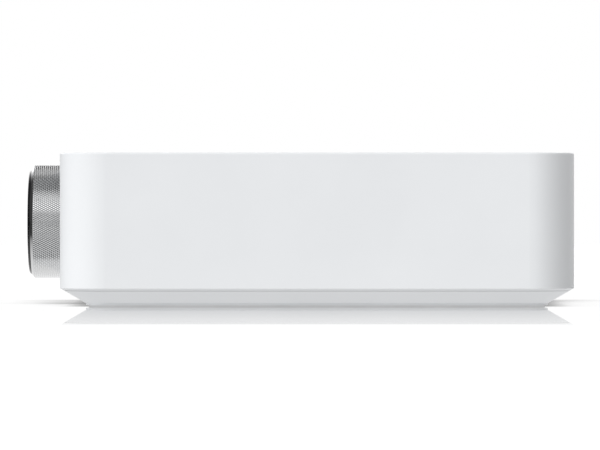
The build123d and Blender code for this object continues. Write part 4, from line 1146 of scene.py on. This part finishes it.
def mirror_share(tree, studio):
    """How much the table mirrors: all at a low view close to the foot, and nothing far off."""
    low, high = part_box("foot_ring")
    place = world_place(tree)
    past = []
    for axis, half in ((0, (high.x - low.x) / 2), (1, (high.y - low.y) / 2)):
        side = reckon(tree, "ABSOLUTE", place[axis])
        past.append(reckon(tree, "MAXIMUM", reckon(tree, "SUBTRACT", side, half), 0.0))
    squares = [reckon(tree, "MULTIPLY", part, part) for part in past]
    distance = reckon(tree, "SQRT", reckon(tree, "ADD", *squares))
    near, far = studio.mirror_near, studio.mirror_far
    waist = near + (far - near) * MIRROR_WAIST
    slope = spread(tree, distance, near, waist, studio.mirror_full, MIRROR_AT_WAIST)
    end = spread(tree, distance, waist, far, 1.0, 0.0)
    fresnel = put(tree, "ShaderNodeFresnel", {"IOR": 1.5}).outputs[0]
    low_view = spread(tree, fresnel, LOW_VIEW_NONE, LOW_VIEW_FULL)
    return reckon(tree, "MULTIPLY", reckon(tree, "MULTIPLY", slope, end), low_view)


def sky(studio):
    """A white background, a soft sky for the light on the object, and a darker room in gloss."""
    world = bpy.data.worlds.new("studio_sky")
    world.use_nodes = True
    world.cycles.sampling_method = "NONE"
    tree = world.node_tree
    tree.nodes.clear()
    direction = put(tree, "ShaderNodeTexCoord").outputs["Generated"]
    place = put(tree, "ShaderNodeSeparateXYZ", {0: direction}).outputs
    soft = spread(tree, place[2], 0.0, 1.0, studio.sky_low, studio.sky_high)
    overhead = spread(tree, place[2], CEILING_START, CEILING_FULL, smooth=True)
    behind = spread(tree, place[0], CEILING_FADE, CEILING_GONE, 1.0, 0.0, smooth=True)
    ceiling = reckon(tree, "MULTIPLY", overhead, behind)
    right = spread(tree, place[0], ROOM_START, ROOM_FULL, smooth=True)
    front = spread(tree, place[1], FRONT_START, FRONT_FULL, smooth=True)
    dark = reckon(tree, "MAXIMUM", ceiling, front)
    raised = reckon(
        tree, "MULTIPLY", spread(tree, place[0], BACKDROP_START, BACKDROP_FULL),
        spread(tree, place[2], HORIZON_START, HORIZON_FULL),
    )
    lit = reckon(
        tree, "MULTIPLY", spread(tree, dark, 0.0, 1.0, 1.0, studio.ceiling),
        spread(tree, raised, 0.0, 1.0, 1.0, studio.backdrop),
    )
    dim = reckon(tree, "MINIMUM", lit, spread(tree, right, 0.0, 1.0, studio.backdrop, studio.room))
    box = towards(
        tree, direction, aim(studio.box_angle, studio.box_rise),
        studio.box_spread * BOX_EDGE, studio.box_spread * BOX_CORE,
    )
    gloss = reckon(tree, "MAXIMUM", dim, reckon(tree, "MULTIPLY", box, studio.soft_box))
    path = put(tree, "ShaderNodeLightPath").outputs
    mirrored = choose(tree, path["Is Glossy Ray"], soft, gloss)
    through = reckon(tree, "MAXIMUM", path["Is Transmission Ray"], path["Is Singular Ray"])
    seen = reckon(tree, "MAXIMUM", path["Is Camera Ray"], through)
    strength = choose(tree, seen, mirrored, 1.0)
    glow = put(tree, "ShaderNodeBackground", {"Color": WHITE, "Strength": strength})
    put(tree, "ShaderNodeOutputWorld", {"Surface": glow.outputs[0]})
    return world


class STREAMER_PT_panel(bpy.types.Panel):
    """Sizes, colours and steps of the streamer"""

    bl_idname = "STREAMER_PT_panel"
    bl_label = "Music Streamer"
    bl_space_type = "VIEW_3D"
    bl_region_type = "UI"
    bl_category = "Streamer"

    def draw(self, context):
        for step in STEPS:
            self.layout.operator(step.bl_idname)
        for name in StreamerSettings.__annotations__:
            box = self.layout.box()
            group = getattr(context.scene.streamer, name)
            for entry in group.__annotations__:
                box.prop(group, entry)


class StreamerSettings(bpy.types.PropertyGroup):
    """All sizes and colours."""

    casing: PointerProperty(type=CasingFinish, name="Casing")
    knob: PointerProperty(type=KnobSizes, name="Knob")
    sockets: PointerProperty(type=SocketFinish, name="Sockets")
    boards: PointerProperty(type=BoardFinish, name="Boards")
    studio: PointerProperty(type=StudioSetting, name="Studio")


STEPS = (
    STREAMER_OT_camera,
    STREAMER_OT_casing,
    STREAMER_OT_knob,
    STREAMER_OT_encoder,
    STREAMER_OT_light_pipe,
    STREAMER_OT_rear_panel,
    STREAMER_OT_sockets,
    STREAMER_OT_boards,
    STREAMER_OT_power_parts,
    STREAMER_OT_leads,
    STREAMER_OT_stage,
)
CLASSES = (
    CasingFinish,
    KnobSizes,
    SocketFinish,
    BoardFinish,
    StudioSetting,
    StreamerSettings,
    *STEPS,
    STREAMER_PT_panel,
)


def register():
    """Adds the classes and the settings to Blender."""
    for entry in CLASSES:
        bpy.utils.register_class(entry)
    bpy.types.Scene.streamer = PointerProperty(type=StreamerSettings, name="Streamer")


def unregister():
    """Takes them out again."""
    del bpy.types.Scene.streamer
    for entry in reversed(CLASSES):
        bpy.utils.unregister_class(entry)


def main():
    """Runs each step in order."""
    register()
    for name in (
        "camera", "casing", "knob", "encoder", "light_pipe", "rear_panel", "sockets", "boards",
        "power_parts", "leads", "stage",
    ):
        getattr(bpy.ops.streamer, name)()


if __name__ == "__main__":
    main()
